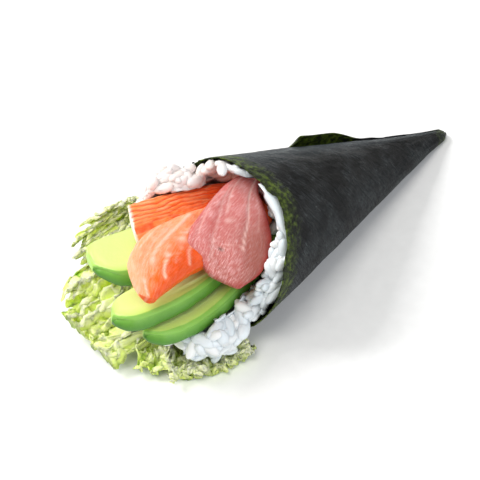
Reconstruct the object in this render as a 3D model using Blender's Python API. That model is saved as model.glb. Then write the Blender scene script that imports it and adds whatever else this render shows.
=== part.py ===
"""Temaki hand roll lying on its side: a nori cone packed with rice, with tuna,
salmon, a crab stick, three avocado slices and two lettuce leaves in its mouth.

Everything is drawn in millimetres in the roll's own frame and turned once: its x runs
along the cone's axis with the point at 0 and the mouth at negative x, its y across
and its z up. The empty "roll" tips that frame until the cone lies on the table.
"""
import math

import bmesh
import bpy
import numpy as np
from mathutils import Matrix, Vector

# Driving sizes, millimetres and degrees.
MM = 0.001
HALF_ANGLE = 14.1        # cone's half angle, and so the tilt it lies at
POINT_X = 77.8           # where the cone's sharp point would be, from the object's centre
POINT_Y = -6.3
GAP = 0.35               # clearance between neighbours that touch
NORI_THICK = 0.4
NORI_RIM = 109.8         # sheet's mean height, measured along the cone
NORI_RIM_SLANT = 5.5     # the rim is lower on one side by twice this
RIM_LOW_AT = 172.0       # degrees round the cone, 0 underneath, 90 far side, 180 on top
WRAP_START = 58.0        # the sheet's inner edge
WRAP_END = 500.0         # its outer free edge, after a turn and a bit
TIP_AT = 7.2             # the cone's point is folded in this far from its sharp end
REST_FLAT = 0.3          # how much of the underside is pressed flat
RICE_FROM = 16.0
RICE_TO = 104.0
LEAF_THICK = 0.9

SLOPE = math.tan(math.radians(HALF_ANGLE))


def clear_scene():
    for old in list(bpy.data.objects):
        bpy.data.objects.remove(old, do_unlink=True)


def smooth(a, b, x):
    t = min(max((x - a) / (b - a), 0.0), 1.0)
    return t * t * (3.0 - 2.0 * t)


def spline(rows, t):
    """Catmull-Rom point at t (0..1) along a list of equal-length rows."""
    rows = [np.array(r, float) for r in rows]
    last = len(rows) - 1
    k = min(int(t * last), last - 1)
    f = t * last - k
    p1, p2 = rows[k], rows[k + 1]
    p0 = rows[k - 1] if k > 0 else 2 * p1 - p2
    p3 = rows[k + 2] if k + 2 <= last else 2 * p2 - p1
    return 0.5 * (2 * p1 + (p2 - p0) * f + (2 * p0 - 5 * p1 + 4 * p2 - p3) * f * f
                  + (3 * p1 - p0 - 3 * p2 + p3) * f ** 3)


def round_cone(h, radius, degrees):
    a = math.radians(degrees)
    return np.array([-h, radius * math.sin(a), -radius * math.cos(a)])


TILT = Matrix.Rotation(math.radians(HALF_ANGLE), 4, 'Y')


def to_table(p):
    return np.array(TILT @ Vector(p))


def from_table(p):
    return np.array(TILT.inverted() @ Vector(p))


def make_material(name, colour, roughness, metallic=0.0):
    mat = bpy.data.materials.new(name)
    mat.use_nodes = True
    bsdf = mat.node_tree.nodes["Principled BSDF"]
    bsdf.inputs["Base Color"].default_value = (*colour, 1.0)
    bsdf.inputs["Roughness"].default_value = roughness
    bsdf.inputs["Metallic"].default_value = metallic
    mat.diffuse_color = (*colour, 1.0)
    return mat


def make_object(name, verts, faces, parent, material=None):
    mesh = bpy.data.meshes.new(name)
    mesh.from_pydata([tuple(float(c) * MM for c in v) for v in verts], [], faces)
    mesh.validate()
    mesh.update()
    obj = bpy.data.objects.new(name, mesh)
    bpy.context.scene.collection.objects.link(obj)
    obj.parent = parent
    if material:
        mesh.materials.append(material)
    return obj


def tube_faces(rings, sides, first, last):
    """Quads between closed rings, with a fan to one point at each end."""
    faces = []
    for r in range(rings - 1):
        for s in range(sides):
            t = (s + 1) % sides
            faces.append((r * sides + s, r * sides + t, (r + 1) * sides + t, (r + 1) * sides + s))
    for s in range(sides):
        t = (s + 1) % sides
        faces.append((first, t, s))
        faces.append((last, (rings - 1) * sides + s, (rings - 1) * sides + t))
    return faces


def make_slice(name, stations, across, up, parent, material=None, sides=16, rings=13,
               square=0.55, cap=(3.0, 3.0), slant=(0.0, 0.0), grow=0.0):
    """A slice along its stations (x, y, z, half width, half thickness, roll).

    The section is a rounded rectangle. square sets its corners (1 = ellipse), cap
    rounds the two ends over that length, slant cuts the first end askew (millimetres
    along x per millimetre across and per millimetre up), grow fattens the whole piece
    for use as a cutter.
    """
    across = np.array(across, float) / np.linalg.norm(across)
    up = np.array(up, float)
    up -= (up @ across) * across
    up /= np.linalg.norm(up)
    fine = [spline(stations, i / 200) for i in range(201)]
    run = [0.0]
    for a, b in zip(fine, fine[1:]):
        run.append(run[-1] + np.linalg.norm(b[:3] - a[:3]))
    total = run[-1]
    # Rings crowd towards the two ends, where the caps turn in.
    places = [0.5 - 0.5 * math.cos(math.pi * (i + 0.35) / (rings - 0.3)) for i in range(rings)]
    verts = []
    for place in places:
        d = place * total
        s = spline(stations, np.interp(d, run, np.linspace(0, 1, 201)))
        centre, half, thick, roll = s[:3], s[3], s[4], math.radians(s[5])
        shrink = 1.0
        for length, away in ((cap[0], d), (cap[1], total - d)):
            if away < length:
                shrink *= math.sqrt(1 - (1 - away / length) ** 2)
        half = half * shrink + grow
        thick = thick * (0.35 + 0.65 * shrink) + grow
        wide = across * math.cos(roll) + up * math.sin(roll)
        high = up * math.cos(roll) - across * math.sin(roll)
        for k in range(sides):
            a = 2 * math.pi * k / sides
            c, e = math.cos(a), math.sin(a)
            w = math.copysign(abs(c) ** square, c)
            h = math.copysign(abs(e) ** square, e)
            askew = (slant[0] * half * w + slant[1] * thick * h) * (1 - place)
            verts.append(centre + wide * half * w + high * thick * h - np.array([askew, 0, 0]))
    ends = []
    for t, ring in ((0.0, 0), (1.0, rings - 1)):
        s = spline(stations, t)[:3]
        middle = np.mean(verts[ring * sides:(ring + 1) * sides], axis=0)
        out = s - middle
        length = np.linalg.norm(out)
        ends.append(s + (out / length * grow if length > 1e-6 else 0.0))
    verts += ends
    faces = tube_faces(rings, sides, len(verts) - 2, len(verts) - 1)
    obj = make_object(name, verts, faces, parent, material)
    face_outward(obj)
    return obj


def face_outward(obj):
    """Turn the mesh if its signed volume is negative."""
    mesh = obj.data
    mesh.calc_loop_triangles()
    volume = 0.0
    for tri in mesh.loop_triangles:
        a, b, c = (mesh.vertices[i].co for i in tri.vertices)
        volume += a.dot(b.cross(c))
    if volume < 0:
        mesh.flip_normals()


def bake(obj):
    """Put what the modifiers give into the object's own mesh."""
    graph = bpy.context.evaluated_depsgraph_get()
    mesh = bpy.data.meshes.new_from_object(obj.evaluated_get(graph))
    old = obj.data
    obj.modifiers.clear()
    obj.data = mesh
    mesh.name = obj.name
    bpy.data.meshes.remove(old)


def keep_main_body(obj):
    """Drop the crumbs that a cut leaves behind."""
    bm = bmesh.new()
    bm.from_mesh(obj.data)
    bmesh.ops.remove_doubles(bm, verts=bm.verts, dist=1e-6)
    bmesh.ops.dissolve_degenerate(bm, edges=bm.edges, dist=1e-6)
    left, bodies = set(bm.faces), []
    while left:
        seed = left.pop()
        body, front = [seed], [seed]
        while front:
            for edge in front.pop().edges:
                if len(edge.link_faces) != 2:
                    continue
                for face in edge.link_faces:
                    if face in left:
                        left.discard(face)
                        body.append(face)
                        front.append(face)
        bodies.append(body)
    bodies.sort(key=lambda body: sum(f.calc_area() for f in body), reverse=True)
    bmesh.ops.delete(bm, geom=[f for body in bodies[1:] for f in body], context='FACES')
    bm.to_mesh(obj.data)
    bm.free()


def boolean(obj, tools, operation='DIFFERENCE', keep=False):
    for tool in tools:
        mod = obj.modifiers.new("bool", 'BOOLEAN')
        mod.operation = operation
        mod.solver = 'EXACT'
        mod.object = tool
        bpy.context.view_layer.update()
        bake(obj)
    if not keep:
        for tool in tools:
            bpy.data.objects.remove(tool, do_unlink=True)


def rim_at(degrees):
    return NORI_RIM - NORI_RIM_SLANT * math.cos(math.radians(degrees - RIM_LOW_AT)) \
        + 0.35 * math.sin(math.radians(degrees * 5))


def make_nori(parent, material):
    """One sheet wound a turn and a quarter, with its last corner lifting off."""
    turns, rows = 46, 12
    stops = [0.0, 0.012, 0.14, 0.27, 0.36, 0.45, 0.54, 0.60, 0.63, 0.665, 0.83, 1.0]
    outer, inner = [], []
    for j in range(rows):
        f = stops[j]
        # The free edge runs straight up from the point, then turns back at the corner.
        end = WRAP_END - 22.0 * smooth(0.63, 0.70, f) - 30.0 * smooth(0.68, 1.0, f)
        for i in range(turns + 1):
            a = WRAP_START + (end - WRAP_START) * i / turns
            rim = rim_at(a)
            s = TIP_AT + (rim - TIP_AT) * f
            h = s * math.cos(math.radians(HALF_ANGLE))
            r = h * SLOPE
            if j == 0:
                h, r = h - 0.9, 0.9
            lap = (NORI_THICK + GAP) * smooth(395, 425, a)
            near_edge = smooth(end - 30, end, a)
            lift = 4.3 * near_edge ** 1.3 * smooth(0.30, 0.5, f) * (1 - smooth(0.62, 0.665, f))
            crease = 0.12 * math.sin(math.radians(a * 4)) * smooth(0.1, 0.4, f) * (1 - smooth(380, 400, a)) \
                * smooth(150, 170, a)
            out = round_cone(h, r + lap + lift + crease, a)
            thick = NORI_THICK if j else 0.25
            ins = round_cone(h + (0.3 if j == 0 else 0.0), r + lap + lift + crease - thick, a)
            for p, floor, bag in ((out, REST_FLAT, outer), (ins, REST_FLAT + thick, inner)):
                q = to_table(p)
                q[2] = max(q[2], floor)
                bag.append(from_table(q))
    n = turns + 1
    verts = outer + inner
    base = len(outer)
    faces = []
    for j in range(rows - 1):
        for i in range(turns):
            a, b, c, d = j * n + i, j * n + i + 1, (j + 1) * n + i + 1, (j + 1) * n + i
            faces.append((a, b, c, d))
            faces.append((base + d, base + c, base + b, base + a))
    for i in range(turns):
        faces.append((i + 1, i, base + i, base + i + 1))
        top = (rows - 1) * n
        faces.append((top + i, top + i + 1, base + top + i + 1, base + top + i))
    for j in range(rows - 1):
        a, b = j * n, (j + 1) * n
        faces.append((a, b, base + b, base + a))
        a, b = j * n + turns, (j + 1) * n + turns
        faces.append((b, a, base + a, base + b))
    obj = make_object("nori", verts, faces, parent, material)
    face_outward(obj)
    return obj


def make_leaf(name, rows, spread, waves, wave_height, parent, material=None,
              deep=(84.0, 97.0, 107.0, 115.0), cutter=False, along=10, around=28):
    """A lettuce leaf: its stem end lines the cone, its frilled end lies out on the table."""
    radius = lambda h: h * SLOPE - NORI_THICK - 3 * GAP - LEAF_THICK / 2
    on_sheet = REST_FLAT + NORI_THICK + GAP + LEAF_THICK / 2 + 0.15
    on_table = REST_FLAT + LEAF_THICK / 2 + 0.05
    grid = []
    for h in deep:
        grid.append([to_table(round_cone(h, radius(h), spread[0] + (spread[1] - spread[0]) * k / 4))
                     for k in range(5)])
    grid += [[np.array(p, float) for p in row] for row in rows]
    middle = []
    for i in range(along + 1):
        u = i / along
        column = [spline([row[k] for row in grid], u) for k in range(5)]
        for j in range(around + 1):
            middle.append(spline(column, j / around))
    middle = np.array(middle).reshape(along + 1, around + 1, 3)
    du = np.gradient(middle, axis=0)
    dv = np.gradient(middle, axis=1)
    normal = np.cross(du, dv)
    normal /= np.linalg.norm(normal, axis=2, keepdims=True)
    side = 1.0 if normal[..., 2].mean() > 0 else -1.0
    for i in range(along + 1):
        u = i / along
        frill = 0.0 if cutter else side * wave_height * smooth(0.62, 1.0, u)
        for j in range(around + 1):
            v = j / around
            wave = math.sin(2 * math.pi * waves * v + 1.5 * math.sin(5 * v + 2 * u)) \
                + 0.35 * math.sin(2 * math.pi * waves * 1.7 * v + 3 * u)
            middle[i, j] += normal[i, j] * frill * wave
            lowest = on_sheet + (on_table - on_sheet) * smooth(0.62, 0.75, u)
            middle[i, j][2] = max(middle[i, j][2], lowest)
    du = np.gradient(middle, axis=0)
    dv = np.gradient(middle, axis=1)
    normal = side * np.cross(du, dv)
    normal /= np.linalg.norm(normal, axis=2, keepdims=True)
    above = below = np.full((along + 1, 1, 1), LEAF_THICK / 2)
    if cutter:
        # The cut clears the tops of the frills and reaches through to the sheet.
        clear = [0.3 + 1.6 * wave_height * smooth(0.55, 1.0, i / along) for i in range(along + 1)]
        above = above + 2 * GAP + np.array(clear).reshape(-1, 1, 1)
        below = below + 2.0
        for i in (0, -1):
            edge = middle[i] - middle[1 if i == 0 else -2]
            middle[i] += edge / np.linalg.norm(edge, axis=1, keepdims=True) * GAP
        for j in (0, -1):
            edge = middle[:, j] - middle[:, 1 if j == 0 else -2]
            middle[:, j] += edge / np.linalg.norm(edge, axis=1, keepdims=True) * 1.2
    top = (middle + normal * above).reshape(-1, 3)
    low = (middle - normal * below).reshape(-1, 3)
    n = around + 1
    verts = [from_table(p) for p in top] + [from_table(p) for p in low]
    base = len(top)
    faces = []
    for i in range(along):
        for j in range(around):
            a, b, c, d = i * n + j, i * n + j + 1, (i + 1) * n + j + 1, (i + 1) * n + j
            faces.append((a, b, c, d))
            faces.append((base + d, base + c, base + b, base + a))
    for j in range(around):
        faces.append((j + 1, j, base + j, base + j + 1))
        t = along * n
        faces.append((t + j, t + j + 1, base + t + j + 1, base + t + j))
    for i in range(along):
        a, b = i * n, (i + 1) * n
        faces.append((a, b, base + b, base + a))
        a, b = i * n + around, (i + 1) * n + around
        faces.append((b, a, base + a, base + b))
    obj = make_object(name, verts, faces, parent, material)
    face_outward(obj)
    return obj


def within_sheet(p, inset):
    """Keep a point of rice inside the nori while it is behind the rim, and off the table."""
    h, rho = -p[0], math.hypot(p[1], p[2])
    rim = rim_at(math.degrees(math.atan2(p[1], -p[2]))) * math.cos(math.radians(HALF_ANGLE))
    free = 6.0 * smooth(rim + 0.5, rim + 10, h)
    limit = h * SLOPE - NORI_THICK - 2 * GAP - 0.3 - inset + free
    if rho > limit:
        p = np.array([p[0], p[1] * limit / rho, p[2] * limit / rho])
    q = to_table(p)
    q[2] = max(q[2], 1.5 + inset)
    return from_table(q)


def make_lump(name, centre, radii, parent, seed, rough=0.06, sides=14, rings=8):
    """An uneven rounded heap."""
    verts = []
    for r in range(1, rings):
        lat = math.pi * r / rings
        for s in range(sides):
            lon = 2 * math.pi * s / sides
            d = np.array([math.sin(lat) * math.cos(lon), math.sin(lat) * math.sin(lon), math.cos(lat)])
            swell = 1 + rough * (math.sin(3 * lon + seed) * math.sin(2 * lat)
                                 + math.sin(5 * lon + 2 * seed + 3 * lat) * 0.6)
            verts.append(within_sheet(np.array(centre) + d * np.array(radii) * swell, 0.15 * seed))
    verts.append(within_sheet(np.array(centre) + np.array([0, 0, radii[2]]), 0.15 * seed))
    verts.append(within_sheet(np.array(centre) - np.array([0, 0, radii[2]]), 0.15 * seed))
    faces = tube_faces(rings - 1, sides, len(verts) - 2, len(verts) - 1)
    obj = make_object(name, verts, faces, parent)
    face_outward(obj)
    return obj


def make_rice(parent, material):
    """The packed cone of rice with the heaps that spill from its mouth."""
    sides = 30
    inside = lambda h: h * SLOPE - NORI_THICK - 2 * GAP
    profile = [(RICE_FROM, 0.55 * inside(RICE_FROM)), (RICE_FROM + 2, inside(RICE_FROM + 2)),
               (45.0, inside(45.0)), (75.0, inside(75.0)), (RICE_TO - 3, inside(RICE_TO - 3)),
               (RICE_TO, inside(RICE_TO) - 0.8), (RICE_TO - 1.0, inside(RICE_TO) * 0.9),
               (RICE_TO - 8.0, inside(RICE_TO) * 0.74), (RICE_TO - 14.0, inside(RICE_TO) * 0.4)]
    verts = []
    for h, r in profile:
        for s in range(sides):
            a = 360.0 * s / sides
            swell = 1.2 * math.sin(math.radians(4 * a)) + 0.8 * math.sin(math.radians(7 * a + 40))
            q = to_table(round_cone(h + (swell if r < inside(h) - 0.5 and h > 50 else 0.0), r, a))
            q[2] = max(q[2], REST_FLAT + NORI_THICK + 2 * GAP)
            verts.append(from_table(q))
    verts += [np.array([-RICE_FROM + 0.8, 0, 0]), np.array([-RICE_TO + 16, 0, 0])]
    faces = tube_faces(len(profile), sides, len(verts) - 2, len(verts) - 1)
    rice = make_object("rice", verts, faces, parent, material)
    face_outward(rice)
    heaps = [make_lump("heap_top", (-106, 20.5, 3), (18.5, 7.5, 13.5), parent, 0.4),
             make_lump("heap_low", from_table((-119, -8, 8)), (16.5, 16, 10), parent, 1.9),
             make_lump("heap_middle", (-110, 7, -16), (12, 15, 8), parent, 2.3),
             make_lump("heap_near", from_table((-109, -13, 9)), (10, 11.5, 8), parent, 3.1)]
    boolean(rice, heaps, 'UNION')
    return rice


# Stations are x, y, z of the slice's middle, half width, half thickness, roll.
TUNA = dict(stations=[(-117, -18.6, -1.6, 2.5, 1.6, 0), (-115, -15.0, 0.9, 8.2, 1.9, 0),
                      (-112.5, -10.3, 4.3, 11.8, 2.1, 0), (-111, -6.0, 7.0, 13.6, 2.1, 0),
                      (-106, -1.6, 10.6, 10.8, 2.1, 0), (-101, 2.2, 14.2, 6.6, 2.1, 0),
                      (-94, 4.6, 16.4, 4.6, 2.0, 0), (-84, 4.0, 14.6, 4.4, 1.9, 0),
                      (-76, 3.2, 12.6, 4.0, 1.7, 0)],
            across=(-0.889, 0.456, 0.043), up=(-0.21, -0.49, 0.85), square=0.5, cap=(5.0, 3.0))
SALMON = dict(stations=[(-146.0, -6.2, 2.0, 5.0, 2.6, -4), (-142.5, -3.2, 3.4, 7.5, 3.0, -2),
                        (-135, -0.8, 5.0, 8.8, 3.3, 0), (-124, 0.4, 5.2, 9.2, 3.3, 0),
                        (-112, 0.6, 4.4, 8.8, 3.2, 0), (-100, 1.6, 3.8, 7.0, 3.0, 0),
                        (-88, 2.2, 3.6, 6.0, 2.6, 0)],
              across=(0, -0.933, -0.36), up=(0, -0.36, 0.933), square=0.5, cap=(5.0, 3.0))
CRAB = dict(stations=[(-131.5, 13.6, 4.4, 9.0, 5.0, 0), (-121, 12.8, 3.6, 9.0, 5.1, 0),
                      (-105, 11.0, 2.4, 8.6, 5.0, 0), (-90, 8.6, 1.4, 7.6, 4.6, 0),
                      (-76, 6.2, 0.6, 6.4, 4.2, 0)],
            across=(0, 0.873, 0.487), up=(0, -0.487, 0.873), square=0.55, cap=(0.8, 2.0),
            slant=(-0.28, 0.7))
AVOCADO_LEFT = dict(stations=[(-143, 18.0, -7.0, 4.5, 2.6, 0), (-138, 17.6, -7.0, 9.4, 3.0, 0),
                              (-125, 15.6, -6.8, 10.4, 3.1, 0), (-112, 13.0, -6.6, 9.4, 3.1, 0),
                              (-98, 10.0, -6.4, 7.0, 2.8, 0)],
                    across=(0, 1, 0), up=(0, 0, 1), square=0.6, cap=(4.0, 3.0))
AVOCADO_UPPER = dict(stations=[(-152.5, -3.0, -8.0, 2.5, 2.6, 0), (-147, -3.2, -8.0, 6.0, 3.0, 0),
                               (-138, -3.0, -8.0, 7.2, 3.1, 0), (-128, -2.6, -8.0, 7.5, 3.1, 0),
                               (-117, -1.4, -7.8, 7.0, 3.1, 0), (-105, 0.8, -6.6, 6.0, 3.0, 0),
                               (-93, 2.8, -4.6, 5.0, 2.6, 0), (-84, 4.0, -3.4, 4.0, 2.2, 0)],
                     across=(0, -1, 0), up=(0, 0, 1), square=0.6, cap=(4.0, 3.0))
AVOCADO_LOWER = dict(stations=[(-144.5, -8.8, -13.9, 2.5, 2.3, 0), (-139, -8.8, -14.1, 5.6, 2.7, 0),
                               (-130, -8.6, -14.2, 6.8, 2.8, 0), (-120, -7.8, -14.1, 6.9, 2.8, 6),
                               (-110, -7.0, -12.6, 6.6, 2.8, 18), (-100, -5.8, -9.8, 6.0, 2.8, 32),
                               (-91, -4.6, -7.4, 5.2, 2.5, 40), (-83, -3.4, -5.8, 4.0, 2.2, 40)],
                     across=(0, -1, 0), up=(0, 0, 1), square=0.6, cap=(4.0, 3.0))
LEAF_LEFT = dict(rows=[[(-128, 5, 11), (-132, 14, 13), (-129, 24, 16), (-121, 31, 22), (-114, 32, 28)],
                       [(-145, 5, 6), (-149, 15, 8), (-147, 29, 12), (-137, 36, 19), (-124, 37, 30)]],
                 spread=(42, 94), waves=7, wave_height=2.6)
LEAF_FRONT = dict(rows=[[(-117, -23, 5), (-124, -19, 2.5), (-129, -12, 2.5), (-130, -4, 4), (-128, 2, 7)],
                        [(-117, -25, 3), (-126, -24, 3), (-134, -18, 3), (-144, -14, 5), (-145, -4, 7)]],
                  spread=(-46, 34), waves=6, wave_height=2.2)


def build():
    clear_scene()
    roll = bpy.data.objects.new("roll", None)
    bpy.context.scene.collection.objects.link(roll)
    roll.rotation_euler = (0.0, math.radians(HALF_ANGLE), 0.0)
    roll.location = (POINT_X * MM, POINT_Y * MM, -REST_FLAT * MM)

    look = {
        "nori": make_material("dried_seaweed", (0.012, 0.016, 0.014), 0.45),
        "rice": make_material("cooked_rice", (0.80, 0.79, 0.76), 0.45),
        "tuna": make_material("raw_tuna", (0.52, 0.12, 0.10), 0.35),
        "salmon": make_material("raw_salmon", (0.85, 0.25, 0.10), 0.35),
        "crab": make_material("crab_stick", (0.85, 0.14, 0.04), 0.4),
        "avocado": make_material("ripe_avocado", (0.55, 0.68, 0.18), 0.45),
        "lettuce": make_material("curly_lettuce", (0.42, 0.58, 0.14), 0.45),
    }

    tuna = make_slice("tuna_slice", parent=roll, material=look["tuna"], **TUNA)
    salmon = make_slice("salmon_slice", parent=roll, material=look["salmon"], **SALMON)
    crab = make_slice("crab_stick", parent=roll, material=look["crab"], **CRAB)
    left = make_slice("avocado_slice_left", parent=roll, material=look["avocado"], **AVOCADO_LEFT)
    upper = make_slice("avocado_slice_upper", parent=roll, material=look["avocado"], **AVOCADO_UPPER)
    lower = make_slice("avocado_slice_lower", parent=roll, material=look["avocado"], **AVOCADO_LOWER)
    make_nori(roll, look["nori"])
    rice = make_rice(roll, look["rice"])
    make_leaf("lettuce_leaf_left", parent=roll, material=look["lettuce"], **LEAF_LEFT)
    make_leaf("lettuce_leaf_front", parent=roll, material=look["lettuce"], **LEAF_FRONT)

    def fat(shape):
        return make_slice("cutter", parent=roll, grow=GAP, **shape)

    # The firmer or upper piece keeps its shape, and what lies against it gives way.
    boolean(salmon, [fat(TUNA)])
    boolean(crab, [fat(TUNA), fat(SALMON)])
    boolean(upper, [fat(SALMON), fat(TUNA), fat(CRAB)])
    boolean(left, [fat(SALMON), fat(CRAB), fat(AVOCADO_UPPER)])
    boolean(lower, [fat(AVOCADO_UPPER), fat(TUNA), fat(CRAB), fat(AVOCADO_LEFT)])
    boolean(rice, [fat(s) for s in (TUNA, SALMON, CRAB, AVOCADO_LEFT, AVOCADO_UPPER, AVOCADO_LOWER)])
    boolean(rice, [make_leaf("cutter", parent=roll, cutter=True, **LEAF_LEFT),
                   make_leaf("cutter", parent=roll, cutter=True, **LEAF_FRONT)])

    for obj in bpy.data.objects:
        if obj.type == 'MESH':
            keep_main_body(obj)
            obj.data.shade_smooth()
            obj.data.set_sharp_from_angle(angle=math.radians(35))


build()
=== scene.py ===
# Temaki hand roll: a nori cone of rice with tuna, salmon, crab stick, avocado and
# frilled lettuce, lying on its side on a pale table.
import math
import random

import bpy
import bmesh
import numpy as np
from mathutils import Matrix, Quaternion, Vector, noise
from mathutils.bvhtree import BVHTree


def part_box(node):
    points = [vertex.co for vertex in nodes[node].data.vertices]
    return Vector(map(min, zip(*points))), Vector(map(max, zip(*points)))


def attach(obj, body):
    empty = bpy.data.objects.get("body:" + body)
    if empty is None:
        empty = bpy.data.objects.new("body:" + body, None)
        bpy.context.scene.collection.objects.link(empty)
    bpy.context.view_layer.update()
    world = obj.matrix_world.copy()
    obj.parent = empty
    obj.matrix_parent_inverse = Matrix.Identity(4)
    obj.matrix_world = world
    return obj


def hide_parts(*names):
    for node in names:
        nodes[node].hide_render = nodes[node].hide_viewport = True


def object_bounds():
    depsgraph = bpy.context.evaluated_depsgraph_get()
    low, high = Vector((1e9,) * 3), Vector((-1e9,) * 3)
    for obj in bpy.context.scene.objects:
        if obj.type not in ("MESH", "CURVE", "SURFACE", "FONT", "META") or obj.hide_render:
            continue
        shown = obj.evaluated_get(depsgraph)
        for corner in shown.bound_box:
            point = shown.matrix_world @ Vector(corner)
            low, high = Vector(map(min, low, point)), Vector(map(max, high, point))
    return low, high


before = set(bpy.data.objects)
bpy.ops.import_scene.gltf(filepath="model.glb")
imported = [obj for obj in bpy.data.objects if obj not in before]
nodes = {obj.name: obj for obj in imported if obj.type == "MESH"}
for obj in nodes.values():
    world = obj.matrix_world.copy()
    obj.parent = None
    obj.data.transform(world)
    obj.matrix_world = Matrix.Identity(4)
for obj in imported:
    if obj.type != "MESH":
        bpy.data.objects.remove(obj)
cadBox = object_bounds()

mm = 0.001

# The roll's own frame, in mm: x along the cone (its sharp point at 0, mouth at minus x),
# y across, z up. It is tilted by the half angle, so the cone lies on its side.
noriLow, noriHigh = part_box("nori")
roll = {
    "halfAngle": 14.1,       # degrees
    "pointInset": 5.6,       # mm the folded tip stops short of the sharp point
    "sideRadius": 26.8,      # mm from the axis to the near side of the rim
    "sunk": 0.3,             # mm pressed flat underneath
}
slope = math.tan(math.radians(roll["halfAngle"]))
sharpPoint = Vector((noriHigh.x / mm + roll["pointInset"], noriLow.y / mm + roll["sideRadius"], -roll["sunk"]))
rollTurn = np.array(Matrix.Rotation(math.radians(roll["halfAngle"]), 3, "Y"))


def toTable(points):
    return np.asarray(points, float) @ rollTurn.T


def fromTable(points):
    return np.asarray(points, float) @ rollTurn


def toFrame(points):
    # roll's frame in mm -> the shared frame in metres
    return (toTable(points) + np.array(sharpPoint)) * mm


def fromFrame(points):
    # the shared frame in metres -> roll's frame in mm
    return fromTable(np.asarray(points, float) / mm - np.array(sharpPoint))


def smooth(a, b, x):
    # 0 at a, 1 at b, eased at both ends
    t = np.clip((np.asarray(x, float) - a) / (b - a), 0.0, 1.0)
    return t * t * (3.0 - 2.0 * t)


def splineStep(a, b, c, d, f):
    # Catmull-Rom from b (f = 0) to c (f = 1)
    return 0.5 * (2 * b + (c - a) * f + (2 * a - 5 * b + 4 * c - d) * f * f + (3 * b - a - 3 * c + d) * f ** 3)


def curveThrough(rows, t):
    # Catmull-Rom through equal rows, t from 0 to 1 (an array)
    rows = np.asarray(rows, float)
    last = len(rows) - 1
    rows = np.concatenate([[2 * rows[0] - rows[1]], rows, [2 * rows[-1] - rows[-2]]])
    t = np.clip(np.asarray(t, float), 0.0, 1.0)
    k = np.minimum((t * last).astype(int), last - 1)
    f = (t * last - k).reshape(t.shape + (1,) * (rows.ndim - 1))
    return splineStep(rows[k], rows[k + 1], rows[k + 2], rows[k + 3], f)


def wobble(points, size, seed, octaves=1):
    # smooth noise, about -1 to 1, with bumps "size" mm across
    shift = Vector((seed * 7.3, seed * 3.1, seed * 5.7))
    return np.array([sum(noise.noise(Vector(p) * (2 ** o / size) + shift) * 0.5 ** o for o in range(octaves))
                     for p in np.asarray(points, float)]) * 1.6


# mesh helpers
def only(obj):
    bpy.ops.object.select_all(action="DESELECT")
    obj.select_set(True)
    bpy.context.view_layer.objects.active = obj


def readPoints(obj):
    flat = np.empty(len(obj.data.vertices) * 3)
    obj.data.vertices.foreach_get("co", flat)
    return flat.reshape(-1, 3)


def writePoints(obj, points):
    obj.data.vertices.foreach_set("co", np.asarray(points, float).ravel())
    obj.data.update()


def readNormals(obj):
    flat = np.empty(len(obj.data.vertices) * 3, np.float32)
    obj.data.vertex_normals.foreach_get("vector", flat)
    return flat.reshape(-1, 3).astype(float)


def editWhole(obj, operator, **settings):
    # one edit-mode operator on a whole mesh
    only(obj)
    bpy.ops.object.mode_set(mode="EDIT")
    bpy.ops.mesh.select_all(action="SELECT")
    operator(**settings)
    bpy.ops.object.mode_set(mode="OBJECT")


def faceOut(obj, outward):
    # turns the faces round where they point against these directions; returns their normals
    normals = readNormals(obj)
    if np.mean(np.sum(normals * outward, 1)) < 0:
        editWhole(obj, bpy.ops.mesh.flip_normals)
        normals = -normals
    return normals


def keepValue(obj, name, values):
    # one number for each point, read by the materials
    layer = obj.data.attributes.new(name, "FLOAT", "POINT")
    layer.data.foreach_set("value", np.asarray(values, np.float32))


def keepMap(obj, name, flat):
    # a flat map in cm, so patterns follow the surface
    layer = obj.data.uv_layers.new(name=name)
    corners = np.empty(len(obj.data.loops), int)
    obj.data.loops.foreach_get("vertex_index", corners)
    layer.data.foreach_set("uv", np.asarray(flat, np.float32)[corners].ravel())


def gridSheet(name, columns, rows):
    # a flat grid primitive; returns its places across (0-1) and along (0-1)
    bpy.ops.object.select_all(action="DESELECT")
    bpy.ops.mesh.primitive_grid_add(x_subdivisions=columns, y_subdivisions=rows, size=2)
    sheet = bpy.context.object
    sheet.name = sheet.data.name = name
    flat = readPoints(sheet)
    return sheet, (flat[:, 0] + 1) / 2, (flat[:, 1] + 1) / 2


def gridBlock(name, cuts):
    # a cube cut crossways along each axis; returns its places, -1 to 1
    bpy.ops.object.select_all(action="DESELECT")
    bpy.ops.mesh.primitive_cube_add(size=2)
    block = bpy.context.object
    block.name = block.data.name = name
    bpy.ops.object.mode_set(mode="EDIT")
    bpy.ops.mesh.select_mode(type="EDGE")
    for axis, count in enumerate(cuts):
        bpy.ops.mesh.select_all(action="DESELECT")
        shape = bmesh.from_edit_mesh(block.data)
        for edge in shape.edges:
            run = edge.verts[1].co - edge.verts[0].co
            edge.select_set(abs(run[axis]) > 0.99 * run.length)
        bmesh.update_edit_mesh(block.data)
        bpy.ops.mesh.subdivide(number_cuts=count)
    bpy.ops.object.mode_set(mode="OBJECT")
    return block, readPoints(block)


def applyModifier(obj, kind, **settings):
    only(obj)
    modifier = obj.modifiers.new(kind.title(), kind)
    for key, value in settings.items():
        setattr(modifier, key, value)
    bpy.ops.object.modifier_apply(modifier=modifier.name)


def treeOf(names):
    # one search tree over the named CAD nodes
    places, faces = [], []
    for name in names:
        start = len(places)
        places += [v.co.copy() for v in nodes[name].data.vertices]
        faces += [[start + i for i in p.vertices] for p in nodes[name].data.polygons]
    return BVHTree.FromPolygons(places, faces)


def depthIn(tree, place):
    # how far a place is outside (+) or inside (-) the nearest face, with that face's point and normal
    hit, normal, _, _ = tree.find_nearest(place)
    return (place - hit).dot(normal), hit, normal


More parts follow.
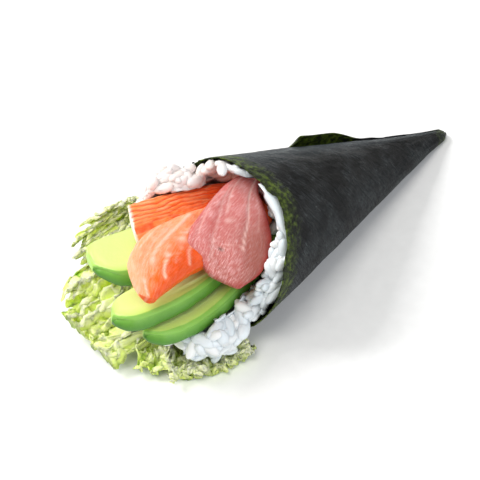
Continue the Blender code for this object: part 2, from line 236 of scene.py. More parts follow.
def fitToNode(obj, node, slack):
    # the CAD solid is already trimmed against its neighbours: nothing stands out of it by more than slack
    tree = treeOf([node])
    points = readPoints(obj)
    for i, p in enumerate(points):
        place = Vector(p)
        out, hit, _ = depthIn(tree, place)
        if out > slack * mm:
            points[i] = hit + (place - hit).normalized() * slack * mm
    writePoints(obj, points)


def stayOut(obj, names, gap):
    # points that sank into a neighbour come back to its surface
    tree = treeOf(names)
    points = readPoints(obj)
    for i, p in enumerate(points):
        out, hit, normal = depthIn(tree, Vector(p))
        if -8 * mm < out < gap * mm:
            points[i] = hit + normal * gap * mm
    writePoints(obj, points)


def finishPiece(obj, node, material):
    only(obj)
    bpy.ops.object.shade_smooth()
    obj.data.materials.clear()
    obj.data.materials.append(material)
    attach(obj, "root")
    if node:
        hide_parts(node)
    print("  %s: %d faces" % (obj.name, len(obj.data.polygons)))


# material helpers
def colour(hexText):
    parts = [int(hexText[i:i + 2], 16) / 255 for i in (1, 3, 5)]
    return tuple(c / 12.92 if c <= 0.04045 else ((c + 0.055) / 1.055) ** 2.4 for c in parts) + (1.0,)


def setInputs(tree, node, inputs):
    # a node or a socket is linked, a hex text is a colour, anything else is the value itself
    for key, value in inputs.items():
        socket = node.inputs[key] if isinstance(key, int) else \
            next(s for s in node.inputs if s.name == key and s.enabled)
        if isinstance(value, bpy.types.Node):
            value = next(s for s in value.outputs if s.enabled)
        if isinstance(value, bpy.types.NodeSocket):
            tree.links.new(value, socket)
        else:
            socket.default_value = colour(value) if isinstance(value, str) else value


def addNode(tree, kind, inputs=None, stops=None, **settings):
    node = tree.nodes.new("ShaderNode" + kind)
    for key, value in settings.items():
        setattr(node, key, value)
    setInputs(tree, node, inputs or {})
    if stops:
        ramp = node.color_ramp
        while len(ramp.elements) < len(stops):
            ramp.elements.new(0.5)
        for element, (place, value) in zip(ramp.elements, stops):
            element.position = place
            element.color = colour(value) if isinstance(value, str) else (value, value, value, 1.0)
    return node


def newMaterial(name):
    material = bpy.data.materials.new(name)
    material.use_nodes = True
    tree = material.node_tree
    shader = next(n for n in tree.nodes if n.type == "BSDF_PRINCIPLED")
    return material, tree, shader


colourMix = {"data_type": "RGBA", "clamp_factor": True}     # a Mix node that mixes colours


# nori
print("nori")
nori = {
    "rim": 109.8,            # mm of cone side, point to rim
    "rimSlant": 5.5,         # mm the rim is lower towards the mouth's top
    "rimLowAt": 172,         # degrees round from underneath
    "rimDip": 0.9,           # mm the rim dips beside the tuna
    "rimStep": (2.5, 203, 211, 238, 258),    # mm lower between these degrees, where the sheet is folded back
    "wrap": (58, 500),       # degrees where the sheet starts and ends
    "tip": 7.2,              # mm from the sharp point to the folded tip
    "thickness": 0.4,        # mm
    "gap": 0.35,             # mm between layers
    "freeEdge": (22, 30),    # degrees the outer edge draws back above the free corner, and up to the rim
    "flap": 3.0,             # mm the free corner lifts
    "flapAt": (0.36, 0.47, 0.60, 0.655),     # starts, full, full, ends: 0 at the tip, 1 at the rim
    "crease": 0.12,          # mm, the long creases of rolling
    "tighter": 0.5,          # mm the sheet is wound tighter towards the point
    "crumple": 0.26,         # mm
    "ragged": 0.35,          # mm
}


def rimAt(degrees):
    dip = nori["rimDip"] * np.exp(-((degrees % 360 - 216) / 24) ** 2)
    lower, starts, fullFrom, fullTo, ends = nori["rimStep"]
    dip = dip + lower * smooth(starts, fullFrom, degrees % 360) * smooth(ends, fullTo, degrees % 360)
    return nori["rim"] - nori["rimSlant"] * np.cos(np.radians(degrees - nori["rimLowAt"])) \
        + 0.35 * np.sin(np.radians(degrees * 5)) - dip


def wrapNori(across, along):
    # across and along the flat sheet (0 to 1) -> its outer face in the roll's frame, its flat
    # map in cm, and for each place the degrees round the cone and how far up the sheet it is
    f = np.interp(along, [0, 0.02, 0.04, 0.06, 1], [0, 0.004, 0.01, 0.03, 1])
    start, stop = nori["wrap"]
    end = stop - nori["freeEdge"][0] * smooth(0.63, 0.70, f) - nori["freeEdge"][1] * smooth(0.68, 1.0, f)
    a = start + (end - start) * across
    ragged = nori["ragged"] * smooth(0.9, 1.0, f) * wobble(np.stack([a * 0.5, f, f], 1), 1.6, 4, 3)
    s = nori["tip"] + (rimAt(a) + ragged - nori["tip"]) * f
    h = s * math.cos(math.radians(roll["halfAngle"]))
    r = h * slope
    closing = smooth(0.012, 0.0, f)              # the folded tip closes
    h, r = h - 0.9 * closing, r * (1 - closing) + 0.7 * closing
    # the second layer lies on the first, its free corner lifts, and creases show on the first only
    lap = (nori["thickness"] + nori["gap"]) * smooth(395, 425, a) * (0.55 + 0.45 * smooth(0.2, 0.5, f))
    starts, fullFrom, fullTo, ends = nori["flapAt"]
    lift = nori["flap"] * smooth(end - 30, end, a) ** 1.3 \
        * smooth(starts, fullFrom, f) * (1 - smooth(fullTo, ends, f))
    seen = smooth(0.1, 0.4, f) * (1 - smooth(380, 400, a)) * smooth(150, 170, a)
    crease = nori["crease"] * np.sin(np.radians(a * 4)) * seen
    places = np.stack([a * np.pi / 180 * 14, s, 0 * a], 1)      # about true size half way up
    calm = 1 - 0.6 * smooth(230, 270, a) * smooth(380, 340, a)       # the near flank is smoother
    crumple = nori["crumple"] * calm * smooth(0.02, 0.12, f) \
        * (wobble(places * (1, 0.4, 1), 3.6, 2, 3) + 0.5 * wobble(places, 9.0, 7))
    tight = nori["tighter"] * smooth(0.75, 0.3, f) * smooth(0.0, 0.1, f)
    radius = np.maximum(r + lap + lift + crease + crumple - tight, 0.15)
    turn = np.radians(a)
    table = toTable(np.stack([-h, radius * np.sin(turn), -radius * np.cos(turn)], 1))
    table[:, 2] = np.maximum(table[:, 2], roll["sunk"])
    flatMap = np.stack([np.radians(a) * r, s], 1) / 10
    return fromTable(table), flatMap, a, f


sheet, across, along = gridSheet("nori_sheet", 300, 110)
outside, noriMap, turnAt, upAt = wrapNori(across, along)
writePoints(sheet, toFrame(outside))
keepMap(sheet, "sheet", noriMap)
keepValue(sheet, "up", upAt)
keepValue(sheet, "flap", smooth(462, 480, turnAt) * smooth(0.33, 0.4, upAt) * smooth(0.70, 0.65, upAt))
# where the lower flank is painted lighter: a painted reflection of the pale table
keepValue(sheet, "low", smooth(212, 265, turnAt + 25 * (0.8 - upAt)) * smooth(350, 320, turnAt))
# where a painted highlight runs along the top crest
keepValue(sheet, "crest", smooth(188, 156, turnAt) * smooth(100, 140, turnAt))
faceOut(sheet, toTable(np.stack([0 * turnAt, np.sin(np.radians(turnAt)), -np.cos(np.radians(turnAt))], 1)))
applyModifier(sheet, "SOLIDIFY", thickness=(nori["thickness"] - 0.06) * mm, offset=-1, use_rim=True)
onTable = readPoints(sheet)
onTable[:, 2] = np.maximum(onTable[:, 2], 0.0)
writePoints(sheet, onTable)


def makeNori():
    # Dried pressed seaweed, roasted: near black, a felt of fine fibres, with painted highlights as pale lines
    # mostly on the upper side, a painted highlight along the top crest and a painted reflection of the pale
    # table on the lower flank; olive where it is thin at the rim, the tip and the lifted corner.
    material, tree, shader = newMaterial("dried_pressed_seaweed")
    flat = addNode(tree, "UVMap", uv_map="sheet")
    place = addNode(tree, "TexCoord").outputs["Object"]
    up, flap, low, crest = (addNode(tree, "Attribute", attribute_name=name).outputs["Fac"]
                            for name in ("up", "flap", "low", "crest"))
    # pressed fibres, 0.85 mm by 3.6 mm, a felt drawn 0.9 mm coarse to show, and 8 mm blotches
    lay = addNode(tree, "Mapping", {"Vector": flat, "Rotation": (0, 0, 0.46), "Scale": (0.085, 0.36, 1)},
                  vector_type="TEXTURE")
    fibres = addNode(tree, "TexNoise", {"Vector": lay, "Scale": 1.0, "Detail": 8.0,
                                        "Roughness": 0.72, "Distortion": 0.9})
    felt = addNode(tree, "TexNoise", {"Vector": place, "Scale": 1100.0, "Detail": 4.0, "Roughness": 0.7})
    blotch = addNode(tree, "TexNoise", {"Vector": place, "Scale": 120.0, "Detail": 6.0, "Roughness": 0.65})
    body = addNode(tree, "ValToRGB", {"Fac": blotch},
                   stops=[(0.4, "#020303"), (0.5, "#080a0a"), (0.62, "#1b1f21")])
    # painted reflection of the pale table: the lower flank lighter and bluer
    paintedFlankReflection = addNode(tree, "ValToRGB", {"Fac": blotch},
                    stops=[(0.4, "#0b0f13"), (0.5, "#181e22"), (0.62, "#2d3436")])
    # a painted highlight along the top crest, following the fibres
    glint = addNode(tree, "Math", {0: crest, 1: fibres}, operation="MULTIPLY")
    # painted highlights: pale lines, most of them on the upper side: thin lines where a smooth noise crosses
    # its middle, broken up by a second noise
    soft = addNode(tree, "TexNoise", {"Vector": lay, "Scale": 1.0, "Detail": 2.5,
                                      "Roughness": 0.6, "Distortion": 0.7})
    off = addNode(tree, "Math", {0: soft, 1: 0.5}, operation="SUBTRACT")
    away = addNode(tree, "Math", {0: off}, operation="ABSOLUTE")
    line = addNode(tree, "MapRange", {"Value": away, "From Min": 0.04, "From Max": 0.005})
    broken = addNode(tree, "ValToRGB", {"Fac": fibres}, stops=[(0.47, 0.0), (0.53, 0.5), (0.6, 1.0)])
    speck = addNode(tree, "Math", {0: line, 1: broken}, operation="MULTIPLY")
    cluster = addNode(tree, "ValToRGB", {"Fac": blotch}, stops=[(0.44, 0.06), (0.58, 0.7)])
    upper = addNode(tree, "Math", {0: crest, 1: 0.8, 2: cluster}, operation="MULTIPLY_ADD", use_clamp=True)
    # the painted highlight lines, mostly on the upper side
    paintedHighlightLines = addNode(tree, "Math", {0: speck, 1: upper}, operation="MULTIPLY")
    # olive mottling near the rim and the tip, 2 to 3 mm patches
    mottle = addNode(tree, "TexNoise", {"Vector": place, "Scale": 480.0, "Detail": 5.0, "Roughness": 0.75})
    rimBand = addNode(tree, "MapRange", {"Value": up, "From Min": 0.87, "From Max": 0.985})
    tipBand = addNode(tree, "MapRange", {"Value": up, "From Min": 0.14, "From Max": 0.0, "To Max": 0.8})
    bands = addNode(tree, "Math", {0: rimBand, 1: tipBand}, operation="MAXIMUM")
    both = addNode(tree, "Math", {0: bands, 1: flap}, operation="MAXIMUM", use_clamp=True)
    patch = addNode(tree, "Math", {0: mottle, 1: both}, operation="MULTIPLY")
    spill = addNode(tree, "Math", {0: blotch, 1: 0.14, 2: patch}, operation="MULTIPLY_ADD")
    green = addNode(tree, "ValToRGB", {"Fac": spill}, stops=[(0.3, 0.0), (0.55, 1.0)])
    olive = addNode(tree, "ValToRGB", {"Fac": mottle},
                    stops=[(0.4, "#1c220e"), (0.5, "#435418"), (0.62, "#7b9232")])
    base = body
    # mixed in turn: the painted reflection on the lower flank, the painted highlight along the crest, the
    # painted highlight lines, and olive where the sheet is thin
    for factor, tone in ((low, paintedFlankReflection), (glint, "#646e73"), (paintedHighlightLines, "#b4bec3"), (green, olive)):
        base = addNode(tree, "Mix", {"Factor": factor, "A": base, "B": tone}, **colourMix)
    rough = addNode(tree, "MapRange", {"Value": fibres, "From Min": 0.4, "From Max": 0.65,
                                       "To Min": 0.55, "To Max": 0.26})
    weave = addNode(tree, "Math", {0: line, 1: 0.3, 2: fibres}, operation="MULTIPLY_ADD")
    felted = addNode(tree, "Math", {0: felt, 1: 0.3, 2: weave}, operation="MULTIPLY_ADD")
    bump = addNode(tree, "Bump", {"Height": felted, "Strength": 1.0, "Distance": 0.0022})
    setInputs(tree, shader, {"Base Color": base, "Roughness": rough, "IOR": 1.4, "Specular IOR Level": 0.26,
                             "Normal": bump})
    return material


finishPiece(sheet, "nori", makeNori())


# slices: a slice's stations are x, y, z of its middle, half width, half thickness and roll
# in degrees, in the roll's frame; "cap" is how long its two rounded ends are, "square" how round
# its section is (1 round, 0 square) and "cuts" how finely it is divided.
def layOut(cut, block):
    # wraps a block's places (-1 to 1) on the slice; returns places in the roll's frame, and for
    # each how far along (d) and across it is in mm, its place on the section (side and up, -1
    # to 1) and the section's upward direction
    u, v, w = block.T
    stations = np.array(cut["stations"], float)
    fine = curveThrough(stations, np.linspace(0, 1, 401))
    run = np.concatenate([[0], np.cumsum(np.linalg.norm(np.diff(fine[:, :3], axis=0), axis=1))])
    total = run[-1]
    blunt = 0.45                                    # how far each end closes before its cap
    ring = np.maximum(np.abs(v), np.abs(w))
    capRun = [c * (1 - math.sqrt(1 - blunt ** 2)) for c in cut["cap"]]
    d = capRun[0] + (total - capRun[0] - capRun[1]) * (u + 1) / 2
    face = np.abs(u) > 0.9999
    bulge = 1 - np.sqrt(1 - (blunt * ring) ** 2)
    d = np.where(face & (u < 0), cut["cap"][0] * bulge, d)
    d = np.where(face & (u > 0), total - cut["cap"][1] * bulge, d)
    s = curveThrough(stations, np.interp(d, run, np.linspace(0, 1, 401)))
    shrink = np.ones_like(d)
    for length, away in ((cut["cap"][0], d), (cut["cap"][1], total - d)):
        shrink *= np.sqrt(np.clip(1 - (1 - np.clip(away / length, 0, 1)) ** 2, 0, 1))
    fill = np.where(face, ring, 1.0)
    half = s[:, 3] * shrink
    thick = s[:, 4] * np.where(face, (0.35 + 0.65 * blunt) * fill, 0.35 + 0.65 * shrink)
    corner = np.where(np.abs(v) >= np.abs(w), w / np.where(v == 0, 1, v) * np.pi / 4,
                      np.pi / 2 - v / np.where(w == 0, 1, w) * np.pi / 4)
    turn = np.where((np.abs(v) >= np.abs(w)) & (v < 0), corner + np.pi,
                    np.where((np.abs(v) < np.abs(w)) & (w < 0), corner + np.pi, corner))
    c, e = np.cos(turn), np.sin(turn)
    sideways = np.sign(c) * np.abs(c) ** cut["square"]
    upward = np.sign(e) * np.abs(e) ** cut["square"]
    wide = np.array(cut["across"], float)
    wide /= np.linalg.norm(wide)
    high = np.array(cut["up"], float)
    high -= high @ wide * wide
    high /= np.linalg.norm(high)
    lean = np.radians(s[:, 5])[:, None]
    wideAt = wide * np.cos(lean) + high * np.sin(lean)
    highAt = high * np.cos(lean) - wide * np.sin(lean)
    places = s[:, :3] + wideAt * (half * sideways)[:, None] + highAt * (thick * upward)[:, None]
    slant = cut.get("slant", (0, 0))
    askew = (slant[0] * half * sideways + slant[1] * thick * upward) * (1 - d / total)
    places[:, 0] -= askew
    return places, {"d": d, "total": total, "side": sideways, "up": upward, "half": half,
                    "acrossMm": half * sideways, "high": highAt}


def nearLines(x, y, lines):
    # how strongly each point lies on one of the lines: (half width mm, strength, points)
    strength = np.zeros_like(x)
    for width, level, points in lines:
        points = curveThrough(points, np.linspace(0, 1, 25))
        nearest = np.full_like(x, 1e9)
        for a, b in zip(points, points[1:]):
            run = b - a
            t = np.clip(((x - a[0]) * run[0] + (y - a[1]) * run[1]) / (run @ run), 0, 1)
            nearest = np.minimum(nearest, np.hypot(x - a[0] - t * run[0], y - a[1] - t * run[1]))
        strength = np.maximum(strength, level * np.exp(-(nearest / width) ** 2))
    return strength


def makeSlice(name, cut, shapeIt):
    piece, block = gridBlock(name + "_cut", cut["cuts"])
    places, at = layOut(cut, block)
    writePoints(piece, toFrame(places))
    out = faceOut(piece, toTable(at["high"]) * np.sign(at["up"])[:, None])
    push, values = shapeIt(places, at)
    writePoints(piece, readPoints(piece) + out * push[:, None] * mm)
    keepMap(piece, "cut", np.stack([at["acrossMm"], at["d"]], 1) / 10)
    for key, value in values.items():
        keepValue(piece, key, value)
    fitToNode(piece, name, cut.get("slack", 0.3))
    return piece


# tuna
print("tuna")
tuna = {
    "stations": [(-117, -18.6, -1.6, 2.5, 1.6, 0), (-115, -15.0, 0.9, 8.2, 1.9, 0),
                 (-112.5, -10.3, 4.3, 11.8, 2.1, 0), (-111, -6.0, 7.0, 13.6, 2.1, 0),
                 (-106, -1.6, 10.6, 10.8, 2.1, 0), (-101, 2.2, 14.2, 6.6, 2.1, 0),
                 (-94, 4.6, 16.4, 4.6, 2.0, 0), (-84, 4.0, 14.6, 4.4, 1.9, 0),
                 (-76, 3.2, 12.6, 4.0, 1.7, 0)],
    "across": (-0.889, 0.456, 0.043), "up": (-0.21, -0.49, 0.85),
    "square": 0.5, "cap": (5.0, 3.0), "cuts": (110, 44, 5),
    # pale seams: half width in mm, strength, points (mm across, mm from the low end)
    "seams": [(0.34, 0.75, [(-2.2, 42), (-3.2, 36), (-4.0, 28), (-5.2, 20), (-4.3, 15), (-2.2, 11)]),
              (0.34, 0.5, [(1.4, 41), (2.2, 35), (2.4, 30), (2.0, 23), (0.4, 18), (1.2, 14), (3.6, 12)]),
              (0.35, 0.35, [(3.4, 34), (4.3, 28), (4.7, 20), (5.6, 15), (7.8, 10)]),
              (0.35, 0.35, [(5.5, 32), (8.0, 27), (9.4, 22), (9.9, 18)]),
              (0.30, 0.25, [(-6.0, 30), (-8.0, 24), (-9.0, 18)])],
    "spot": (4.2, 12.2),     # a small dark spot, mm across and from the low end
    # plump flakes: half width in mm, height, points
    "flakes": [(2.6, 1.0, [(-0.6, 40), (-1.0, 32), (-1.6, 24), (-1.8, 16), (0.0, 8)]),
               (1.9, 0.9, [(5.0, 33), (7.0, 26), (7.6, 19), (8.6, 13)]),
               (2.2, 0.6, [(-7.5, 28), (-9.0, 20), (-7.5, 12)])],
    "seamDepth": 0.2,        # mm
    "plump": 0.45,           # mm the flakes stand up
    "grain": 0.06,           # mm
}


def shapeTuna(places, at):
    x, d = at["acrossMm"], at["d"]
    seams = nearLines(x, d, tuna["seams"])
    spot = np.exp(-((x - tuna["spot"][0]) ** 2 + (d - tuna["spot"][1]) ** 2) / 0.35)
    # flakes swell between the seams
    flakes = nearLines(x, d, tuna["flakes"])
    push = -tuna["seamDepth"] * seams + tuna["plump"] * flakes \
        + tuna["grain"] * wobble(places, 1.4, 5, 2) + 0.12 * wobble(places, 8, 3)
    rim = smooth(0.72, 1.0, np.abs(at["side"])) * (0.35 + 0.65 * (x < 0)) * smooth(0.2, 2.5, at["total"] - d)
    tip = smooth(2.2, 0.4, d) * 0.7
    return push, {"seam": seams, "rim": np.maximum(rim, tip), "far": d / at["total"], "flake": flakes,
                  "spot": spot, "dusk": smooth(4.0, -8.0, x) * smooth(30, 12, d)}


def makeTuna():
    # Raw tuna loin, knife cut: moist dusky pink, a fine diagonal grain with pale flecks, partly painted
    # highlight, pale seams between the flakes, a painted highlight on the flakes' crowns and painted shade
    # where it runs in under the sheet, darker and redder where the light passes the thin edge.
    material, tree, shader = newMaterial("raw_tuna_knife_cut")
    flat = addNode(tree, "UVMap", uv_map="cut")
    place = addNode(tree, "TexCoord").outputs["Object"]
    seam, rim, far, flake, dusk, spot = (addNode(tree, "Attribute", attribute_name=name).outputs["Fac"]
                                         for name in ("seam", "rim", "far", "flake", "dusk", "spot"))
    # the grain of the cut, 0.4 mm by 2 mm, and 6 mm clouds of deeper red
    lay = addNode(tree, "Mapping", {"Vector": flat, "Rotation": (0, 0, 0.62), "Scale": (0.042, 0.2, 1)},
                  vector_type="TEXTURE")
    grain = addNode(tree, "TexNoise", {"Vector": lay, "Scale": 1.0, "Detail": 6.0,
                                       "Roughness": 0.72, "Distortion": 0.4})
    cloud = addNode(tree, "TexNoise", {"Vector": place, "Scale": 170.0, "Detail": 3.0})
    # darker towards the far end, where the slice runs in under the sheet's rim: painted shade; darker also
    # towards the low end
    length = addNode(tree, "ValToRGB", {"Fac": far},
                     stops=[(0.0, "#ae5f54"), (0.2, "#c0675e"), (0.4, "#d27874"), (0.6, "#cc7671"),
                            (0.78, "#ad5c57")])
    # painted highlight: the plump flakes lighter
    flakeHighlight = addNode(tree, "Math", {0: flake, 1: 0.7}, operation="MULTIPLY")
    # pale flecks along the grain: partly the grain's own streaks, partly painted highlight
    grainFlecksAndSheen = addNode(tree, "ValToRGB", {"Fac": grain}, stops=[(0.44, 0.0), (0.56, 0.45), (0.66, 1.0)])
    tint = addNode(tree, "ValToRGB", {"Fac": cloud}, stops=[(0.42, 0.0), (0.75, 0.55)])
    dusky = addNode(tree, "Math", {0: dusk, 1: 0.75}, operation="MULTIPLY")
    base = length
    for factor, tone in ((flakeHighlight, "#d27a76"), (grainFlecksAndSheen, "#edbfbc"), (tint, "#c04a42"), (dusky, "#8e4e40"),
                         (seam, "#eec6bc"), (rim, "#a8362e"), (spot, "#5c3a30")):
        base = addNode(tree, "Mix", {"Factor": factor, "A": base, "B": tone}, **colourMix)
    bump = addNode(tree, "Bump", {"Height": grain, "Strength": 0.6, "Distance": 0.0007})
    setInputs(tree, shader, {"Base Color": base, "Roughness": 0.34, "IOR": 1.38, "Subsurface Weight": 0.1,
                             "Subsurface Radius": (1.0, 0.35, 0.25), "Subsurface Scale": 0.0008,
                             "Normal": bump})
    return material


finishPiece(makeSlice("tuna_slice", tuna, shapeTuna), "tuna_slice", makeTuna())

# salmon
print("salmon")
salmon = {
    "stations": [(-146.0, -6.2, 2.0, 5.0, 2.6, -4), (-142.5, -3.2, 3.4, 7.5, 3.0, -2),
                 (-135, -0.8, 5.0, 8.8, 3.3, 0), (-124, 0.4, 5.2, 9.2, 3.3, 0),
                 (-112, 0.6, 4.4, 8.8, 3.2, 0), (-100, 1.6, 3.8, 7.0, 3.0, 0),
                 (-88, 2.2, 3.6, 6.0, 2.6, 0)],
    "across": (0, -0.933, -0.36), "up": (0, -0.36, 0.933),
    "square": 0.5, "cap": (5.0, 3.0), "cuts": (110, 34, 12),
    # white bands of fat: half width in mm, strength, points (mm across, mm from the free end)
    "fat": [(0.50, 0.7, [(3.4, 1.6), (1.7, 2.6), (0.3, 4.9), (-0.6, 8.5), (-2.4, 13.1), (-3.8, 18.4),
                         (-5.4, 25), (-7.8, 32)]),
            (0.55, 0.75, [(5.8, 10.6), (4.6, 11.0), (2.9, 12.9), (0.9, 16.7), (-0.6, 21.4), (-2.5, 27),
                          (-4.5, 33)]),
            (0.45, 0.5, [(7.0, 20.4), (5.2, 21.6), (3.0, 23.4), (1.6, 27.5), (0.8, 33)]),
            (0.35, 0.3, [(-6.6, 9.5), (-7.0, 14), (-8.4, 20)]),
            (0.30, 0.3, [(-2.6, 6.5), (-3.2, 9.5), (-5.0, 15), (-6.4, 22)]),
            (0.30, 0.28, [(2.2, 7.5), (1.0, 10), (-0.6, 14.5), (-1.8, 20), (-3.6, 27)]),
            (0.35, 0.3, [(4.4, 16.5), (2.6, 18.6), (1.0, 22.5), (-0.4, 28)])],
    "fatHeight": 0.16,       # mm the bands stand up
    "soft": 0.35,            # mm of slow unevenness
}


def shapeSalmon(places, at):
    fat = nearLines(at["acrossMm"], at["d"], salmon["fat"])
    push = salmon["fatHeight"] * fat + salmon["soft"] * wobble(places, 9, 6) + 0.12 * wobble(places, 2.5, 8, 2)
    # deep orange down the cut side, its own colour with painted shade along the lower edge, and towards the
    # near, lower side of the top, where the painted sheen fades
    deep = np.maximum(smooth(0.95, 0.35, at["up"]) * smooth(0.2, 0.9, at["side"]),
                      0.8 * smooth(-5.0, 7.0, at["acrossMm"] + 0.25 * (at["d"] - 15)))
    return push, {"fat": fat, "deep": deep}


def makeSalmon():
    # Raw salmon fillet, knife cut: moist orange flakes between white bands of fat, a painted pink sheen with
    # pale flecks on top, fading across it, and deep orange down the cut side, its own colour with painted
    # shade along the lower edge.
    material, tree, shader = newMaterial("raw_salmon_knife_cut")
    flat = addNode(tree, "UVMap", uv_map="cut")
    place = addNode(tree, "TexCoord").outputs["Object"]
    fat, deep = (addNode(tree, "Attribute", attribute_name=name).outputs["Fac"]
                 for name in ("fat", "deep"))
    # the grain of the cut, 0.5 mm by 2.6 mm, and 4 mm clouds
    lay = addNode(tree, "Mapping", {"Vector": flat, "Rotation": (0, 0, 0.28), "Scale": (0.055, 0.26, 1)},
                  vector_type="TEXTURE")
    grain = addNode(tree, "TexNoise", {"Vector": lay, "Scale": 1.0, "Detail": 6.0,
                                       "Roughness": 0.7, "Distortion": 0.5})
    cloud = addNode(tree, "TexNoise", {"Vector": place, "Scale": 230.0, "Detail": 3.0})
    # paler and pinker where deep is low: painted sheen
    shift = addNode(tree, "Math", {0: cloud, 1: 0.5, 2: deep}, operation="MULTIPLY_ADD")
    flesh = addNode(tree, "ValToRGB", {"Fac": shift},
                    stops=[(0.1, "#fdb08a"), (0.35, "#fb9560"), (0.65, "#f67222"), (1.0, "#e65208")])
    grainFlecksAndSheen = addNode(tree, "ValToRGB", {"Fac": grain}, stops=[(0.44, 0.0), (0.6, 0.4), (0.72, 0.85)])
    # painted sheen on the top, away from the deep side
    sheen = addNode(tree, "Math", {0: 1.0, 1: deep}, operation="SUBTRACT", use_clamp=True)
    paintedSheenFlecks = addNode(tree, "Math", {0: grainFlecksAndSheen, 1: sheen}, operation="MULTIPLY")
    base = flesh
    for factor, tone in ((paintedSheenFlecks, "#fccdb2"), (fat, "#fbd9c4")):
        base = addNode(tree, "Mix", {"Factor": factor, "A": base, "B": tone}, **colourMix)
    bump = addNode(tree, "Bump", {"Height": grain, "Strength": 0.55, "Distance": 0.0006})
    setInputs(tree, shader, {"Base Color": base, "Roughness": 0.32, "IOR": 1.38, "Subsurface Weight": 0.25,
                             "Subsurface Radius": (1.0, 0.4, 0.2), "Subsurface Scale": 0.0015,
                             "Normal": bump})
    return material


finishPiece(makeSlice("salmon_slice", salmon, shapeSalmon), "salmon_slice", makeSalmon())

# crab stick
print("crab stick")
crab = {
    "stations": [(-131.5, 13.6, 4.4, 9.0, 5.0, 0), (-121, 12.8, 3.6, 9.0, 5.1, 0),
                 (-105, 11.0, 2.4, 8.6, 5.0, 0), (-90, 8.6, 1.4, 7.6, 4.6, 0),
                 (-76, 6.2, 0.6, 6.4, 4.2, 0)],
    "across": (0, 0.873, 0.487), "up": (0, -0.487, 0.873),
    "square": 0.55, "cap": (0.8, 2.0), "cuts": (90, 60, 22),
    "slant": (-0.28, 0.7),   # how far the cut end leans, across and up
    "strands": 9,            # folds of the rolled sheet across the top
    "groove": 0.42,          # mm
    "wander": (0.5, 0.14),   # folds they wander, slowly and quickly
    "endWider": 1.3,         # mm more of the white end shows on the far side
}


def shapeCrab(places, at):
    slow, quick = crab["wander"]
    drift = slow * wobble(np.stack([at["d"], at["acrossMm"] * 0.3, at["up"]], 1), 7, 2) \
        + quick * wobble(np.stack([at["d"], at["acrossMm"], at["up"]], 1), 2.4, 12)
    girth = np.arctan2(at["up"] * 0.55, at["side"]) / np.pi * 2    # 0 at one side, 1 on top, 2 at the other
    phase = girth * crab["strands"] + drift
    strand = 0.5 + 0.5 * np.cos(2 * np.pi * phase)
    narrow = strand ** 3
    push = crab["groove"] * (0.35 - narrow) + 0.12 * wobble(places, 2.2, 9, 2)
    push *= 1 - smooth(1.2, 0.0, at["d"])        # the cut end is flat
    endFace = smooth(0.9, 0.25, at["d"] - crab["endWider"] * smooth(-0.2, 0.5, at["side"]))
    return push, {"groove": narrow, "end": endFace, "far": at["d"] / at["total"]}


def makeCrab():
    # Surimi, extruded and rolled, dyed outside: long folds, saturated orange red on the ridges,
    # pale streaks between and white paste where it is cut.
    material, tree, shader = newMaterial("rolled_surimi_dyed_outside")
    flat = addNode(tree, "UVMap", uv_map="cut")
    place = addNode(tree, "TexCoord").outputs["Object"]
    groove, endFace, far = (addNode(tree, "Attribute", attribute_name=name).outputs["Fac"]
                            for name in ("groove", "end", "far"))
    # strands of the paste, 0.6 mm by 5 mm, and 4 mm patches of thinner dye
    lay = addNode(tree, "Mapping", {"Vector": flat, "Scale": (0.06, 0.5, 1)}, vector_type="TEXTURE")
    streak = addNode(tree, "TexNoise", {"Vector": lay, "Scale": 1.0, "Detail": 5.0,
                                        "Roughness": 0.7, "Distortion": 0.8})
    patch = addNode(tree, "TexNoise", {"Vector": place, "Scale": 260.0, "Detail": 4.0})
    length = addNode(tree, "ValToRGB", {"Fac": far},
                     stops=[(0.0, "#ff9a50"), (0.25, "#ff8038"), (0.5, "#fc6222"), (0.85, "#e03810")])
    pale = addNode(tree, "ValToRGB", {"Fac": streak}, stops=[(0.46, 0.0), (0.6, 0.45), (0.72, 0.85)])
    red = addNode(tree, "Math", {0: groove, 1: 0.8}, operation="MULTIPLY")
    tint = addNode(tree, "ValToRGB", {"Fac": patch}, stops=[(0.5, 0.0), (0.75, 0.5)])
    base = length
    for factor, tone in ((pale, "#ffc094"), (red, "#e8481a"), (tint, "#fc9a66"), (endFace, "#fbeadb")):
        base = addNode(tree, "Mix", {"Factor": factor, "A": base, "B": tone}, **colourMix)
    bump = addNode(tree, "Bump", {"Height": streak, "Strength": 0.45, "Distance": 0.0005})
    setInputs(tree, shader, {"Base Color": base, "Roughness": 0.36, "IOR": 1.4, "Subsurface Weight": 0.2,
                             "Subsurface Radius": (1.0, 0.4, 0.2), "Subsurface Scale": 0.001,
                             "Normal": bump})
    return material


finishPiece(makeSlice("crab_stick", crab, shapeCrab), "crab_stick", makeCrab())

